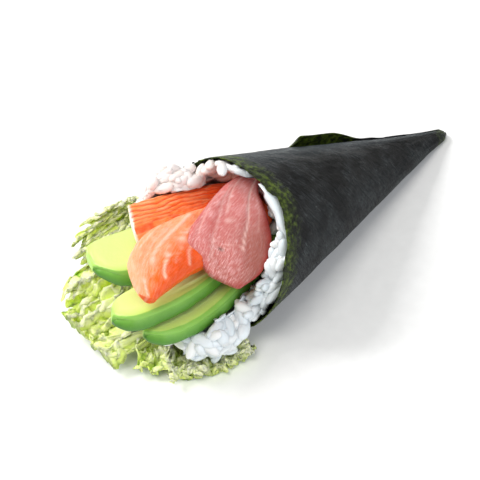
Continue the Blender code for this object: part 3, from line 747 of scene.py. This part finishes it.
# avocado
print("avocado")
avocado = {
    "across": (0, -1, 0), "up": (0, 0, 1), "square": 0.38, "cap": (4.0, 3.0),
    "slack": 0.55,           # mm a slice may stand out of its CAD solid
    "dent": 0.35,            # mm the face sinks in the middle
    "peel": 1.9,             # mm of peeled side that shows round the face
    "bevel": 0.9,            # mm it slopes down
    "strips": 1.5,           # mm between the ridges left by the stone, on the upper slice
}
avocadoSlices = {
    "avocado_slice_left": {
        "stations": [(-143, 18.0, -7.0, 4.5, 2.6, 0), (-138, 17.6, -7.0, 9.4, 3.0, 0),
                     (-125, 15.6, -6.8, 10.4, 3.1, 0), (-112, 13.0, -6.6, 9.4, 3.1, 0),
                     (-98, 10.0, -6.4, 7.0, 2.8, 0)],
        "cuts": (80, 40, 14), "ridged": False},
    "avocado_slice_upper": {
        "stations": [(-152.5, -3.0, -8.0, 2.5, 2.6, 0), (-147, -3.2, -8.0, 6.0, 3.0, 0),
                     (-138, -3.0, -8.0, 7.2, 3.1, 0), (-128, -2.6, -8.0, 7.5, 3.1, 0),
                     (-117, -1.4, -7.8, 7.0, 3.1, 0), (-105, 0.8, -6.6, 6.0, 3.0, 0),
                     (-93, 2.8, -4.6, 5.0, 2.6, 0), (-84, 4.0, -3.4, 4.0, 2.2, 0)],
        "cuts": (110, 36, 14), "ridged": True},
    "avocado_slice_lower": {
        "stations": [(-144.5, -8.8, -13.9, 2.5, 2.3, 0), (-139, -8.8, -14.1, 5.6, 2.7, 0),
                     (-130, -8.6, -14.2, 6.8, 2.8, 0), (-120, -7.8, -14.1, 6.9, 2.8, 6),
                     (-110, -7.0, -12.6, 6.6, 2.8, 18), (-100, -5.8, -9.8, 6.0, 2.8, 32),
                     (-91, -4.6, -7.4, 5.2, 2.5, 40), (-83, -3.4, -5.8, 4.0, 2.2, 40)],
        "cuts": (100, 36, 14), "ridged": False},
}


def shapeAvocado(ridged):
    def shape(places, at):
        fromEdge = at["half"] * (1 - at["side"])               # mm from the peeled side
        onFace = smooth(0.72, 0.9, at["up"])
        bevel = avocado["bevel"] * np.clip(1 - fromEdge / avocado["peel"], 0, 1) * smooth(0.0, 0.6, at["up"])
        push = -avocado["dent"] * onFace * smooth(2.5, 6.5, fromEdge) + 0.1 * wobble(places, 7, 4) - bevel
        skin = np.maximum(smooth(0.55, 0.75, at["side"]) * smooth(0.95, 0.86, at["up"]),
                          smooth(avocado["peel"] + 0.25, avocado["peel"] - 0.15, fromEdge))
        push += 0.13 * skin * wobble(places * (1, 1, 0.5), 5.0, 6, 2)
        ridge = np.zeros_like(push)
        if ridged:
            border = 2.9 + 0.07 * (at["d"] - 20)
            inner = smooth(border + 0.35, border - 0.35, at["acrossMm"]) * smooth(13, 16, at["d"]) * onFace
            ridge = inner * (0.5 + 0.5 * np.sin(at["acrossMm"] * 2 * np.pi / avocado["strips"]
                                                    + 0.5 * wobble(places, 8, 3)))
            push += inner * 0.6 + 0.35 * ridge
        fromTip = np.minimum(at["d"], 40)
        fromEdge = np.minimum(fromEdge, fromTip * 0.8 + 0.6 * (at["half"] - np.abs(at["acrossMm"])))
        return push, {"fromEdge": fromEdge, "skin": skin, "level": at["up"], "inner": ridge}
    return shape


def makeAvocado():
    # Ripe avocado, peeled and sliced: buttery pale yellow middle turning lime and then deep green
    # at the peeled side, which is smooth, faceted by the peeling and faintly glossy.
    material, tree, shader = newMaterial("ripe_avocado_sliced")
    place = addNode(tree, "TexCoord").outputs["Object"]
    fromEdge, skin, level, inner = (addNode(tree, "Attribute", attribute_name=name).outputs["Fac"]
                                    for name in ("fromEdge", "skin", "level", "inner"))
    # 6 mm clouds of ripeness, and the smear of the knife, about 1 mm
    cloud = addNode(tree, "TexNoise", {"Vector": place, "Scale": 160.0, "Detail": 4.0, "Roughness": 0.6})
    fine = addNode(tree, "TexNoise", {"Vector": place, "Scale": 900.0, "Detail": 4.0, "Roughness": 0.65})
    shaken = addNode(tree, "Math", {0: cloud, 1: 1.6, 2: fromEdge}, operation="MULTIPLY_ADD")
    inward = addNode(tree, "MapRange", {"Value": shaken, "From Min": 2.4, "From Max": 7.0})
    face = addNode(tree, "ValToRGB", {"Fac": inward},
                   stops=[(0.0, "#a6cf5c"), (0.12, "#bfde72"), (0.4, "#c9e27e"), (0.85, "#d3e38c")])
    # the peeled side is painted darker low down, as painted shade, and lighter up towards the cut face
    band = addNode(tree, "Math", {0: cloud, 1: 0.6, 2: level}, operation="MULTIPLY_ADD")
    peeledSideShade = addNode(tree, "MapRange", {"Value": band, "From Min": -0.8, "From Max": 1.4})
    green = addNode(tree, "ValToRGB", {"Fac": peeledSideShade},
                    stops=[(0.0, "#3e6f1e"), (0.35, "#4f8828"), (0.62, "#679f3a"), (0.85, "#86bb4e")])
    base = face
    for factor, tone in ((inner, "#e6f7a8"), (skin, green)):
        base = addNode(tree, "Mix", {"Factor": factor, "A": base, "B": tone}, **colourMix)
    bump = addNode(tree, "Bump", {"Height": fine, "Strength": 0.25, "Distance": 0.0004})
    setInputs(tree, shader, {"Base Color": base, "Roughness": 0.42, "IOR": 1.45, "Subsurface Weight": 0.2,
                             "Subsurface Radius": (0.8, 0.9, 0.3), "Subsurface Scale": 0.0012,
                             "Normal": bump})
    return material


ripeAvocado = makeAvocado()
for name, cut in avocadoSlices.items():
    finishPiece(makeSlice(name, {**avocado, **cut}, shapeAvocado(cut["ridged"])), name, ripeAvocado)

# lettuce
print("lettuce")
lettuce = {
    "thickness": 0.45,       # mm
    "deep": (84.0, 97.0, 107.0, 115.0),    # where the stem end lines the cone
    # each frill: wave length mm, height mm, where it starts and is full (0 stem, 1 edge)
    "frills": [(13.0, 1.3, 0.45, 0.85), (5.2, 0.8, 0.6, 0.9), (2.7, 0.9, 0.7, 0.95)],
    "curls": [(4.5, 0.8), (2.5, 1.1), (1.4, 1.15), (0.8, 0.6)],  # size and height of small crumples, mm
    "lobes": 0.16,           # how deeply the outline is cut
    "rib": 0.4,              # mm
    "rough": 0.35,           # mm
    "past": ((0.8, 0.6), (0.8, 0.6), (0.0, 0.6)),    # mm the frills may pass the CAD box, each axis
}
# "spread" is degrees round the cone, "edge" the mm along the outer edge; "table" holds two rows
# of five points, middle and outer edge, in mm from the sharp point with z up from the table
leaves = {
    "lettuce_leaf_left": {
        "spread": (42, 94), "seed": 3, "columns": 300, "rows": 120, "edge": 62,
        "table": [[(-128, 3, 9), (-132, 14, 13), (-129, 24, 16), (-121, 31, 22), (-113, 33, 27)],
                  [(-153, 1, 6), (-157, 15, 8), (-154, 28.5, 12), (-141, 36, 20), (-125, 37, 29)]]},
    "lettuce_leaf_front": {
        "spread": (-46, 34), "seed": 8, "columns": 280, "rows": 110, "edge": 52,
        "table": [[(-116, -23, 5), (-124, -19, 2.5), (-131, -12, 2.5), (-133, -2, 4), (-129, 5, 7)],
                  [(-116, -25, 3), (-125, -23.5, 3), (-135, -18.5, 3), (-146, -12.5, 4), (-151, 3, 7)]]},
}


def makeLeaf(name):
    leaf = leaves[name]
    piece, across, along = gridSheet(name + "_frilled", leaf["columns"], leaf["rows"])
    rows = []
    for h in lettuce["deep"]:
        radius = h * slope - nori["thickness"] - 3 * nori["gap"] - 0.45
        turn = np.radians(np.linspace(leaf["spread"][0], leaf["spread"][1], 5))
        rows.append(toTable(np.stack([np.full(5, -h), radius * np.sin(turn), -radius * np.cos(turn)], 1)))
    rows += [np.array(row, float) for row in leaf["table"]]
    rows = np.array(rows)                                        # rows x 5 x 3

    def surface(u, v):
        beyond = np.clip(u - 1, 0, 1)[:, None, None]             # a lobe may run a little past the last row
        lines = curveThrough(rows, u) + (rows[-1] - rows[-2]) * 5 * beyond * 0.8
        last = 4
        padded = np.concatenate([2 * lines[:, :1] - lines[:, 1:2], lines,
                                 2 * lines[:, -1:] - lines[:, -2:-1]], 1)
        k = np.minimum((v * last).astype(int), last - 1)
        f = (v * last - k)[:, None]
        pick = np.arange(len(v))
        return splineStep(*(padded[pick, k + j] for j in range(4)), f)

    step = 0.004
    seed = leaf["seed"]
    v = across
    edgeRun = v * leaf["edge"]
    lobe = 0.5 + 0.5 * wobble(np.stack([edgeRun, 0 * v, 0 * v], 1), 7.5, seed + 30, 3)
    u = (1 - (1 - along) ** 1.5) * (1 + lettuce["lobes"] * (0.22 - np.clip(lobe, 0, 1.1)))
    middle = surface(u, v)
    du = surface(u + step, v) - surface(np.maximum(u - step, 0), v)
    dv = surface(u, np.minimum(v + step, 1)) - surface(u, np.maximum(v - step, 0))
    outward = du / np.maximum(np.linalg.norm(du, axis=1, keepdims=True), 1e-9)
    sideways = dv / np.maximum(np.linalg.norm(dv, axis=1, keepdims=True), 1e-9)
    normal = np.cross(du, dv)
    normal /= np.maximum(np.linalg.norm(normal, axis=1, keepdims=True), 1e-9)
    if normal[:, 2].mean() < 0:
        normal = -normal
    spread = np.stack([edgeRun, u * 85, 0 * u], 1)
    drift = wobble(spread * (1, 0.5, 1), 11, seed) * 3.0
    lift, slide, reach = (np.zeros_like(u) for _ in range(3))
    for number, (length, height, start, full) in enumerate(lettuce["frills"]):
        grow = smooth(start, full, u) * (0.7 + 0.6 * wobble(spread, length * 1.6, seed + 10 + number))
        phase = 2 * np.pi * (edgeRun + drift * (0.7 if number else 1)) / length \
            + seed * 2.1 * (number + 1) + 5.0 * u
        lift += height * grow * np.sin(phase)
        slide += 0.6 * height * grow * np.sin(2 * phase + 0.6)
        reach += 0.4 * height * grow * np.cos(phase + 0.8)
    grow = smooth(0.45, 0.65, u)
    for number, (size, height) in enumerate(lettuce["curls"]):
        lift += height * grow * wobble(spread, size, seed + 20 + 3 * number)
        slide += 0.8 * height * grow * wobble(spread, size, seed + 21 + 3 * number)
        reach += 0.8 * height * grow * wobble(spread, size, seed + 22 + 3 * number)
    # a few ribs run out from the stem
    ribs = np.abs(np.sin(v * np.pi * 5 + 0.6 * np.sin(u * 4))) ** 6 * (1 - smooth(0.55, 0.85, u))
    rough = lettuce["rough"] * smooth(0.3, 0.7, u) * wobble(middle, 2.0, seed + 4, 2)
    places = middle + normal * (lift + rough + lettuce["rib"] * ribs)[:, None] \
        + sideways * slide[:, None] + outward * reach[:, None]
    onSheet = roll["sunk"] + nori["thickness"] + nori["gap"] + 0.6
    onTable = roll["sunk"] + 0.35
    floor = onSheet + (onTable - onSheet) * smooth(0.62, 0.75, u)
    places[:, 2] = np.maximum(places[:, 2], floor)
    writePoints(piece, (places + np.array(sharpPoint)) * mm)
    keepMap(piece, "leaf", np.stack([edgeRun, u * 45], 1) / 10)
    keepValue(piece, "edge", u)
    # how high each place stands in its fold, for the painted light on crests and painted shade in hollows
    keepValue(piece, "fold", np.clip(0.5 + lift / 7, 0, 1))
    keepValue(piece, "rib", ribs)
    stayOut(piece, [n for n in nodes if not n.startswith("lettuce")], 0.35)
    faceOut(piece, normal)
    applyModifier(piece, "SOLIDIFY", thickness=lettuce["thickness"] * mm, offset=0, use_rim=True)
    points = readPoints(piece)
    for axis, (below, above) in enumerate(lettuce["past"]):
        points[:, axis] = np.clip(points[:, axis], cadBox[0][axis] - below * mm, cadBox[1][axis] + above * mm)
    writePoints(piece, points)
    return piece


def makeLettuce():
    # Frilly lettuce, fresh and thin: light passes through the pale yellow-green frills, painted lighter on the
    # crests of the folds and darker, greener in their hollows as painted light and shade, the ribs whitish and
    # juicy.
    material, tree, shader = newMaterial("fresh_frilly_lettuce")
    flat = addNode(tree, "UVMap", uv_map="leaf")
    place = addNode(tree, "TexCoord").outputs["Object"]
    edge, fold, rib = (addNode(tree, "Attribute", attribute_name=name).outputs["Fac"]
                       for name in ("edge", "fold", "rib"))
    # 4 to 5 mm clouds of green, and a net of veins about 2 mm apart
    cloud = addNode(tree, "TexNoise", {"Vector": place, "Scale": 220.0, "Detail": 4.0, "Roughness": 0.6})
    veins = addNode(tree, "TexVoronoi", {"Vector": flat, "Scale": 4.5}, feature="DISTANCE_TO_EDGE")
    # painted light and shade: lighter on the crests of the folds, darker and greener in their hollows
    mixed = addNode(tree, "Math", {0: cloud, 1: 0.5, 2: fold}, operation="MULTIPLY_ADD")
    leafColour = addNode(tree, "ValToRGB", {"Fac": mixed},
                         stops=[(0.35, "#8cb93e"), (0.52, "#c2dc62"), (0.72, "#dcee88"), (1.0, "#eff8b4")])
    stem = addNode(tree, "ValToRGB", {"Fac": edge}, stops=[(0.35, 1.0), (0.7, 0.0)])
    base = leafColour
    for factor, tone in ((stem, "#cdd9a4"), (rib, "#e3e8c4")):
        base = addNode(tree, "Mix", {"Factor": factor, "A": base, "B": tone}, **colourMix)
    vein = addNode(tree, "MapRange", {"Value": veins, "From Max": 0.12})
    bump = addNode(tree, "Bump", {"Height": vein, "Strength": 0.35, "Distance": 0.0004})
    setInputs(tree, shader, {"Base Color": base, "Roughness": 0.4, "IOR": 1.4, "Subsurface Weight": 0.6,
                             "Subsurface Radius": (0.85, 1.0, 0.35), "Subsurface Scale": 0.003,
                             "Normal": bump})
    return material


freshLettuce = makeLettuce()
for name in leaves:
    finishPiece(makeLeaf(name), name, freshLettuce)

# rice
print("rice")
rice = {
    "shapes": 6,             # different grains
    "grain": (7.6, 3.7),     # mm long and thick
    # least and most
    "bend": (0.05, 0.3), "taper": (-0.25, 0.25), "fat": (0.88, 1.08), "size": (0.86, 1.1),
    # grains lining the sheet just inside the rim: degrees from and to, how many, mm deep
    # inside the rim, mm from the cone
    "linings": [(206, 300, 64, (2.0, 12.0), 2.6), (244, 302, 40, (1.0, 9.0), 5.4)],
    "spacing": 2.7,          # mm between grain middles
    "layers": ((1.7, 0.1), (1.0, 0.45)),   # mm below the heap's outline, and how much they tilt
    "coreInset": 1.9,        # mm
    "hollow": (182, 236, 95),    # degrees round and mm along: the mouth is emptier there, above the tuna
    "from": 88,              # mm from the sharp point: grains show only from here to the mouth
    "seed": 5,
    "bare": (174, 179, 195, 200),    # degrees round where the tuna's narrow end reaches the sheet
    "wall": 1.6,             # mm the core keeps from the cone
    "offTable": 0.9,         # mm, the leaf lies under it
    "tries": 4, "deeper": 0.5,       # a grain that touches something is tried again this many mm deeper
    "clear": (-0.67, -0.49, 0.56),       # from this side no grain lies in front of the tuna or the avocado
    "clearFor": (18, 7),     # mm, in front of each
}


def grainShape(number):
    # one cooked grain along x, slightly bent, blunter at one end
    bpy.ops.object.select_all(action="DESELECT")
    bpy.ops.mesh.primitive_uv_sphere_add(segments=9, ring_count=7, radius=0.5)
    grain = bpy.context.object
    grain.name = "grain_%d" % number
    p = readPoints(grain)[:, [2, 0, 1]]
    chance = random.Random(number)
    bend, taper, fat = (chance.uniform(*rice[name]) for name in ("bend", "taper", "fat"))
    x = np.sign(p[:, 0]) * np.abs(p[:, 0] * 2) ** 0.95 / 2
    thin = fat * (1 + taper * x) * (1 + 0.08 * math.sin(number))
    y = p[:, 1] * rice["grain"][1] * thin + bend * (x * 2) ** 2 * 1.4
    z = p[:, 2] * rice["grain"][1] * thin * 0.88
    writePoints(grain, np.stack([x * rice["grain"][0], y, z], 1) * mm)
    editWhole(grain, bpy.ops.mesh.normals_make_consistent, inside=False)
    return grain


def insideSheet(places):
    # how far (mm) the worst of these places is inside the nori, or inside the room before its rim
    local = fromFrame(places)
    h, rho = -local[:, 0], np.hypot(local[:, 1], local[:, 2])
    turn = np.degrees(np.arctan2(local[:, 1], -local[:, 2])) % 360
    rim = rimAt(turn) * math.cos(math.radians(roll["halfAngle"]))
    free = 7.0 * smooth(rim + 0.5, rim + 11, h)
    return (h * slope - nori["thickness"] - 0.25 + free - rho).min()


def riceCore():
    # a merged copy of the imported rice, a little smaller, under the loose grains
    bpy.ops.object.select_all(action="DESELECT")
    core = nodes["rice"].copy()
    core.data = nodes["rice"].data.copy()
    core.parent = None
    for key in list(core.keys()):
        del core[key]
    core.name = core.data.name = "rice_grains"
    bpy.context.scene.collection.objects.link(core)
    core.hide_render = core.hide_viewport = False
    only(core)
    bpy.ops.object.mode_set(mode="EDIT")
    bpy.ops.mesh.select_all(action="SELECT")
    bpy.ops.mesh.remove_doubles(threshold=0.00002)
    bpy.ops.mesh.subdivide(number_cuts=1)
    bpy.ops.mesh.normals_make_consistent(inside=False)
    bpy.ops.object.mode_set(mode="OBJECT")
    # above the tuna the rice is thin and lies against the sheet
    local = fromFrame(readPoints(core))
    first, last, depth = rice["hollow"]
    turn = np.degrees(np.arctan2(local[:, 1], -local[:, 2])) % 360
    rho = np.hypot(local[:, 1], local[:, 2])
    outside = -local[:, 0] * slope - rice["wall"]
    inner = smooth(outside, outside - 1.0, rho)
    starts, fullFrom, fullTo, ends = rice["bare"]
    bare = smooth(starts, fullFrom, turn) * smooth(ends, fullTo, turn)
    inner = np.maximum(inner, bare)
    hollow = smooth(first - 6, first + 4, turn) * smooth(last + 8, last - 8, turn) * inner * (rho > 12)
    local[:, 0] = np.maximum(local[:, 0], local[:, 0] * (1 - hollow) - depth * hollow)
    limit = -local[:, 0] * slope - rice["wall"]
    shrink = np.where(hollow > 0.02, np.minimum(1, limit / rho), 1)
    local[:, 1:] *= shrink[:, None]
    writePoints(core, toFrame(local))
    return core


def triangleSamples(obj, spacing, chance):
    # even samples over the surface: many random places, then those too near a kept one dropped
    mesh = obj.data
    mesh.calc_loop_triangles()
    points = readPoints(obj)
    corners = np.array([t.vertices[:] for t in mesh.loop_triangles])
    a, b, c = points[corners[:, 0]], points[corners[:, 1]], points[corners[:, 2]]
    cross = np.cross(b - a, c - a)
    area = np.linalg.norm(cross, axis=1) / 2
    count = int(area.sum() / (spacing * mm) ** 2 * 9)
    picks = np.searchsorted(np.cumsum(area) / area.sum(), [chance.random() for _ in range(count)])
    kept, cells = [], {}
    for t in picks:
        r1, r2 = math.sqrt(chance.random()), chance.random()
        place = a[t] * (1 - r1) + b[t] * r1 * (1 - r2) + c[t] * r1 * r2
        cell = tuple((place / (spacing * mm)).astype(int))
        near = (kept[i][0] for dx in (-1, 0, 1) for dy in (-1, 0, 1) for dz in (-1, 0, 1)
                for i in cells.get((cell[0] + dx, cell[1] + dy, cell[2] + dz), ()))
        if all(np.linalg.norm(place - other) > spacing * mm for other in near):
            cells.setdefault(cell, []).append(len(kept))
            kept.append((place, cross[t] / max(np.linalg.norm(cross[t]), 1e-12)))
    return kept


def grainSpots(core, others, chance):
    # where a grain may lie: place, outward normal, how deep and how tilted
    for deep, tilt in rice["layers"]:
        for place, out in triangleSamples(core, rice["spacing"], chance):
            if -fromFrame(place)[0] < rice["from"]:
                continue
            hit = others.ray_cast(Vector(place) + Vector(out) * 0.05 * mm, Vector(out), 3.0 * mm)
            if hit[0] is None or hit[3] > 1.4 * mm:            # else pressed against a neighbour, unseen
                yield Vector(place), Vector(out), deep, tilt
    for first, last, count, (near, far), inset in rice["linings"]:
        for k in range(count):
            turn = first + (last - first) * (k + chance.random()) / count
            s = rimAt(turn) - chance.uniform(near, far)
            h = s * math.cos(math.radians(roll["halfAngle"]))
            a = math.radians(turn)
            inward = np.array([0, -math.sin(a), math.cos(a)])
            rho = h * slope - inset - chance.uniform(0, 1.8)
            place = toFrame([[-h, rho * math.sin(a), -rho * math.cos(a)]])[0]
            yield Vector(place), Vector(toTable(inward)), 0.0, 0.3


def scatterGrains(core):
    chance = random.Random(rice["seed"])
    others = treeOf([n for n in nodes if n != "rice"])
    tunaTree, avocadoTree = treeOf(["tuna_slice"]), treeOf(["avocado_slice_upper", "avocado_slice_lower"])
    clear = Vector(toTable(rice["clear"])).normalized()
    tunaClear, avocadoClear = rice["clearFor"]
    templates = [grainShape(n) for n in range(rice["shapes"])]
    copies = []
    for start, normal, deep, tilt in grainSpots(core, others, chance):
        side = normal.orthogonal().normalized()
        side.rotate(Quaternion(normal, chance.uniform(0, 2 * math.pi)))
        side = (side + normal * chance.uniform(-tilt, tilt)).normalized()
        across = normal.cross(side).normalized()
        turn = Matrix((side, across, side.cross(across))).transposed().to_4x4()
        size = chance.uniform(*rice["size"])
        template = chance.choice(templates)
        for attempt in range(rice["tries"]):
            middle = start - normal * (deep + rice["deeper"] * attempt) * mm
            spots = [Matrix.Translation(middle) @ turn @ (v.co * size) for v in template.data.vertices]
            ends = [middle + turn @ Vector((k * size * rice["grain"][0] * mm, 0, 0)) for k in (-0.3, 0, 0.3)]
            hides = any(tunaTree.ray_cast(e, -clear, tunaClear * mm)[0] for e in ends) \
                or avocadoTree.ray_cast(middle, -clear, avocadoClear * mm)[0]
            if not hides and insideSheet(spots) > 0 and min(s.z for s in spots) > rice["offTable"] * mm \
                    and min(depthIn(others, s)[0] for s in spots[::3]) > 0.05 * mm:
                break
        else:
            continue
        copy = template.copy()
        copy.data = template.data.copy()
        copy.data.transform(Matrix.Translation(middle) @ turn @ Matrix.Scale(size, 4))
        keepValue(copy, "tint", np.full(len(copy.data.vertices), chance.random()))
        bpy.context.scene.collection.objects.link(copy)
        copies.append(copy)
    for template in templates:
        bpy.data.objects.remove(template)
    return copies


core = riceCore()
grains = scatterGrains(core)
editWhole(core, bpy.ops.transform.shrink_fatten, value=-rice["coreInset"] * mm)
local = fromFrame(readPoints(core))           # the shrunk core keeps inside the sheet
room = np.maximum(-local[:, 0] * slope - 1.5, 0.3)
local[:, 1:] *= np.minimum(1, room / np.hypot(local[:, 1], local[:, 2]))[:, None]
writePoints(core, toFrame(local))
keepValue(core, "tint", np.full(len(core.data.vertices), 0.3))
only(core)
for copy in grains:
    copy.select_set(True)
bpy.ops.object.join()
print("  %d grains" % len(grains))


def makeRice():
    # Cooked short-grain rice, moist and slightly see-through: soft white, cooler where it is thick
    # and shaded, warmer and pinkish beside the fish.
    material, tree, shader = newMaterial("cooked_short_grain_rice")
    place = addNode(tree, "TexCoord").outputs["Object"]
    tint = addNode(tree, "Attribute", attribute_name="tint").outputs["Fac"]
    cloud = addNode(tree, "TexNoise", {"Vector": place, "Scale": 500.0, "Detail": 3.0})      # 2 mm dents
    white = addNode(tree, "ValToRGB", {"Fac": tint},
                    stops=[(0.0, "#d2dbdf"), (0.5, "#dfe6e9"), (1.0, "#ebecea")])
    parts = addNode(tree, "SeparateXYZ", {"Vector": place})
    # pinker on the far side of the middle, within 6 mm of it
    side = addNode(tree, "MapRange", {"Value": parts.outputs["Y"], "From Min": -0.006, "From Max": 0.006})
    warm = addNode(tree, "Math", {0: side, 1: 0.55}, operation="MULTIPLY")
    base = addNode(tree, "Mix", {"Factor": warm, "A": white, "B": "#f4ddd2"}, **colourMix)
    bump = addNode(tree, "Bump", {"Height": cloud, "Strength": 0.2, "Distance": 0.0004})
    setInputs(tree, shader, {"Base Color": base, "Roughness": 0.38, "IOR": 1.42, "Subsurface Weight": 0.25,
                             "Subsurface Radius": (1.0, 0.9, 0.8), "Subsurface Scale": 0.0015,
                             "Normal": bump})
    return material


finishPiece(core, "rice", makeRice())

# specks on the rice: one black sesame seed and a few crumbs of seaweed
specks = {
    # each lies on the rice nearest to this place, mm in the roll's frame
    "seed": (-102.5, 17.2, 14.6),
    "crumbs": [(-106.0, 21.5, 13.2), (-103.0, 20.0, 18.6), (-101.5, 15.5, 21.5), (-99.2, 8.2, 23.4)],
    "seedSize": (2.9, 1.5, 0.9),
    "crumbSize": (1.1, 0.9, 0.3),
    "lift": 0.45,            # mm from the rice to a speck's middle
}


def makeSpecks():
    tree = treeOf(["rice"])
    pieces = []
    for number, place in enumerate([specks["seed"]] + specks["crumbs"]):
        size = specks["seedSize"] if number == 0 else specks["crumbSize"]
        hit, normal, _, _ = tree.find_nearest(Vector(toFrame([place])[0]))
        bpy.ops.object.select_all(action="DESELECT")
        bpy.ops.mesh.primitive_ico_sphere_add(subdivisions=3, radius=0.5)
        speck = bpy.context.object
        p = readPoints(speck)
        p[:, 1] *= 1 - 0.7 * (p[:, 0] > 0) * p[:, 0]               # a seed is pointed at one end
        p += 0.07 * np.stack([wobble(p, 0.4, number + k) for k in range(3)], 1) * (number > 0)
        writePoints(speck, p * size * mm)
        side = Vector((1, 0.35 + 0.6 * number, 0))
        side = (side - normal * side.dot(normal)).normalized()
        turn = Matrix((side, normal.cross(side), normal)).transposed().to_4x4()
        speck.data.transform(Matrix.Translation(hit + normal * specks["lift"] * mm) @ turn)
        pieces.append(speck)
    only(pieces[0])
    for piece in pieces:
        piece.select_set(True)
    bpy.ops.object.join()
    pieces[0].name = pieces[0].data.name = "sesame_and_crumbs"
    return pieces[0]


def makeSesame():
    # Black sesame, roasted: a dull, nearly black hull with a faint shine.
    material, tree, shader = newMaterial("roasted_black_sesame")
    place = addNode(tree, "TexCoord").outputs["Object"]
    grain = addNode(tree, "TexNoise", {"Vector": place, "Scale": 3000.0, "Detail": 3.0})     # 0.3 mm
    hull = addNode(tree, "ValToRGB", {"Fac": grain}, stops=[(0.3, "#101214"), (0.7, "#23282a")])
    setInputs(tree, shader, {"Base Color": hull, "Roughness": 0.45})
    return material


finishPiece(makeSpecks(), None, makeSesame())

# table, light and camera
print("stage")
studio = {
    "sky": 0.38,             # brightness that lights the roll from all round
    "backdrop": 0.9,         # brightness of the white seen behind the table
    # large soft sources: name, place (m), size (m), watts, colour
    "lamps": [("window_behind", (-0.35, 0.65, 0.75), 0.45, 10.0, "#ffffff"),
              ("overhead", (-0.3, -0.1, 0.85), 0.4, 3.0, "#fffdf8"),
              ("front_fill", (0.05, -0.9, 0.5), 0.7, 4.6, "#f2f7ff")],
    "lampsAimAt": (-0.02, 0, 0.02),      # m
    "eye": (-326.6, -313.2, 452.5),      # mm from the cone's sharp point
    "azimuth": -36.206, "elevation": 48.018, "roll": -7.27,
    "lens": 139.1,
}
bpy.ops.object.select_all(action="DESELECT")
bpy.ops.mesh.primitive_plane_add(size=4, location=(0, 0, 0))
table = bpy.context.object
table.name = "table"
paper, paperTree, paperShader = newMaterial("matt_white_paper")
paperPlace = addNode(paperTree, "TexCoord").outputs["Object"]
# fibres of the paper, drawn 4 mm coarse
grainy = addNode(paperTree, "TexNoise", {"Vector": paperPlace, "Scale": 225.0, "Detail": 3.0})
paperTone = addNode(paperTree, "ValToRGB", {"Fac": grainy}, stops=[(0.3, "#f2f2f1"), (0.7, "#f6f6f5")])
setInputs(paperTree, paperShader, {"Base Color": paperTone, "Roughness": 0.8})
table.data.materials.append(paper)

for name, place, size, watts, tone in studio["lamps"]:
    light = bpy.data.lights.new(name, "AREA")
    light.shape = "SQUARE"
    light.size = size
    light.energy = watts
    light.color = colour(tone)[:3]
    lamp = bpy.data.objects.new(name, light)
    lamp.location = place
    lamp.rotation_euler = (Vector(place) - Vector(studio["lampsAimAt"])).to_track_quat("Z", "Y").to_euler()
    bpy.context.scene.collection.objects.link(lamp)
world = bpy.data.worlds.new("studio")
world.use_nodes = True
background = world.node_tree.nodes["Background"]
seen = addNode(world.node_tree, "LightPath").outputs["Is Camera Ray"]
level = addNode(world.node_tree, "MapRange", {"Value": seen, "To Min": studio["sky"],
                                              "To Max": studio["backdrop"]})
setInputs(world.node_tree, background, {"Color": "#ffffff", "Strength": level})
bpy.context.scene.world = world
bpy.context.scene.view_settings.view_transform = "Standard"

camera = bpy.data.cameras.new("camera")
camera.lens = studio["lens"]
camera.sensor_width = 36
camera.clip_end = 20
eye = bpy.data.objects.new("camera", camera)
azimuth, elevation = math.radians(studio["azimuth"]), math.radians(studio["elevation"])
back = Vector((math.sin(azimuth) * math.cos(elevation), -math.cos(azimuth) * math.cos(elevation),
               math.sin(elevation)))
eye.location = (sharpPoint + Vector(studio["eye"])) * mm
eye.rotation_mode = "QUATERNION"
eye.rotation_quaternion = back.to_track_quat("Z", "Y") @ Quaternion((0, 0, 1), math.radians(studio["roll"]))
bpy.context.scene.collection.objects.link(eye)
bpy.context.scene.camera = eye

print("done")
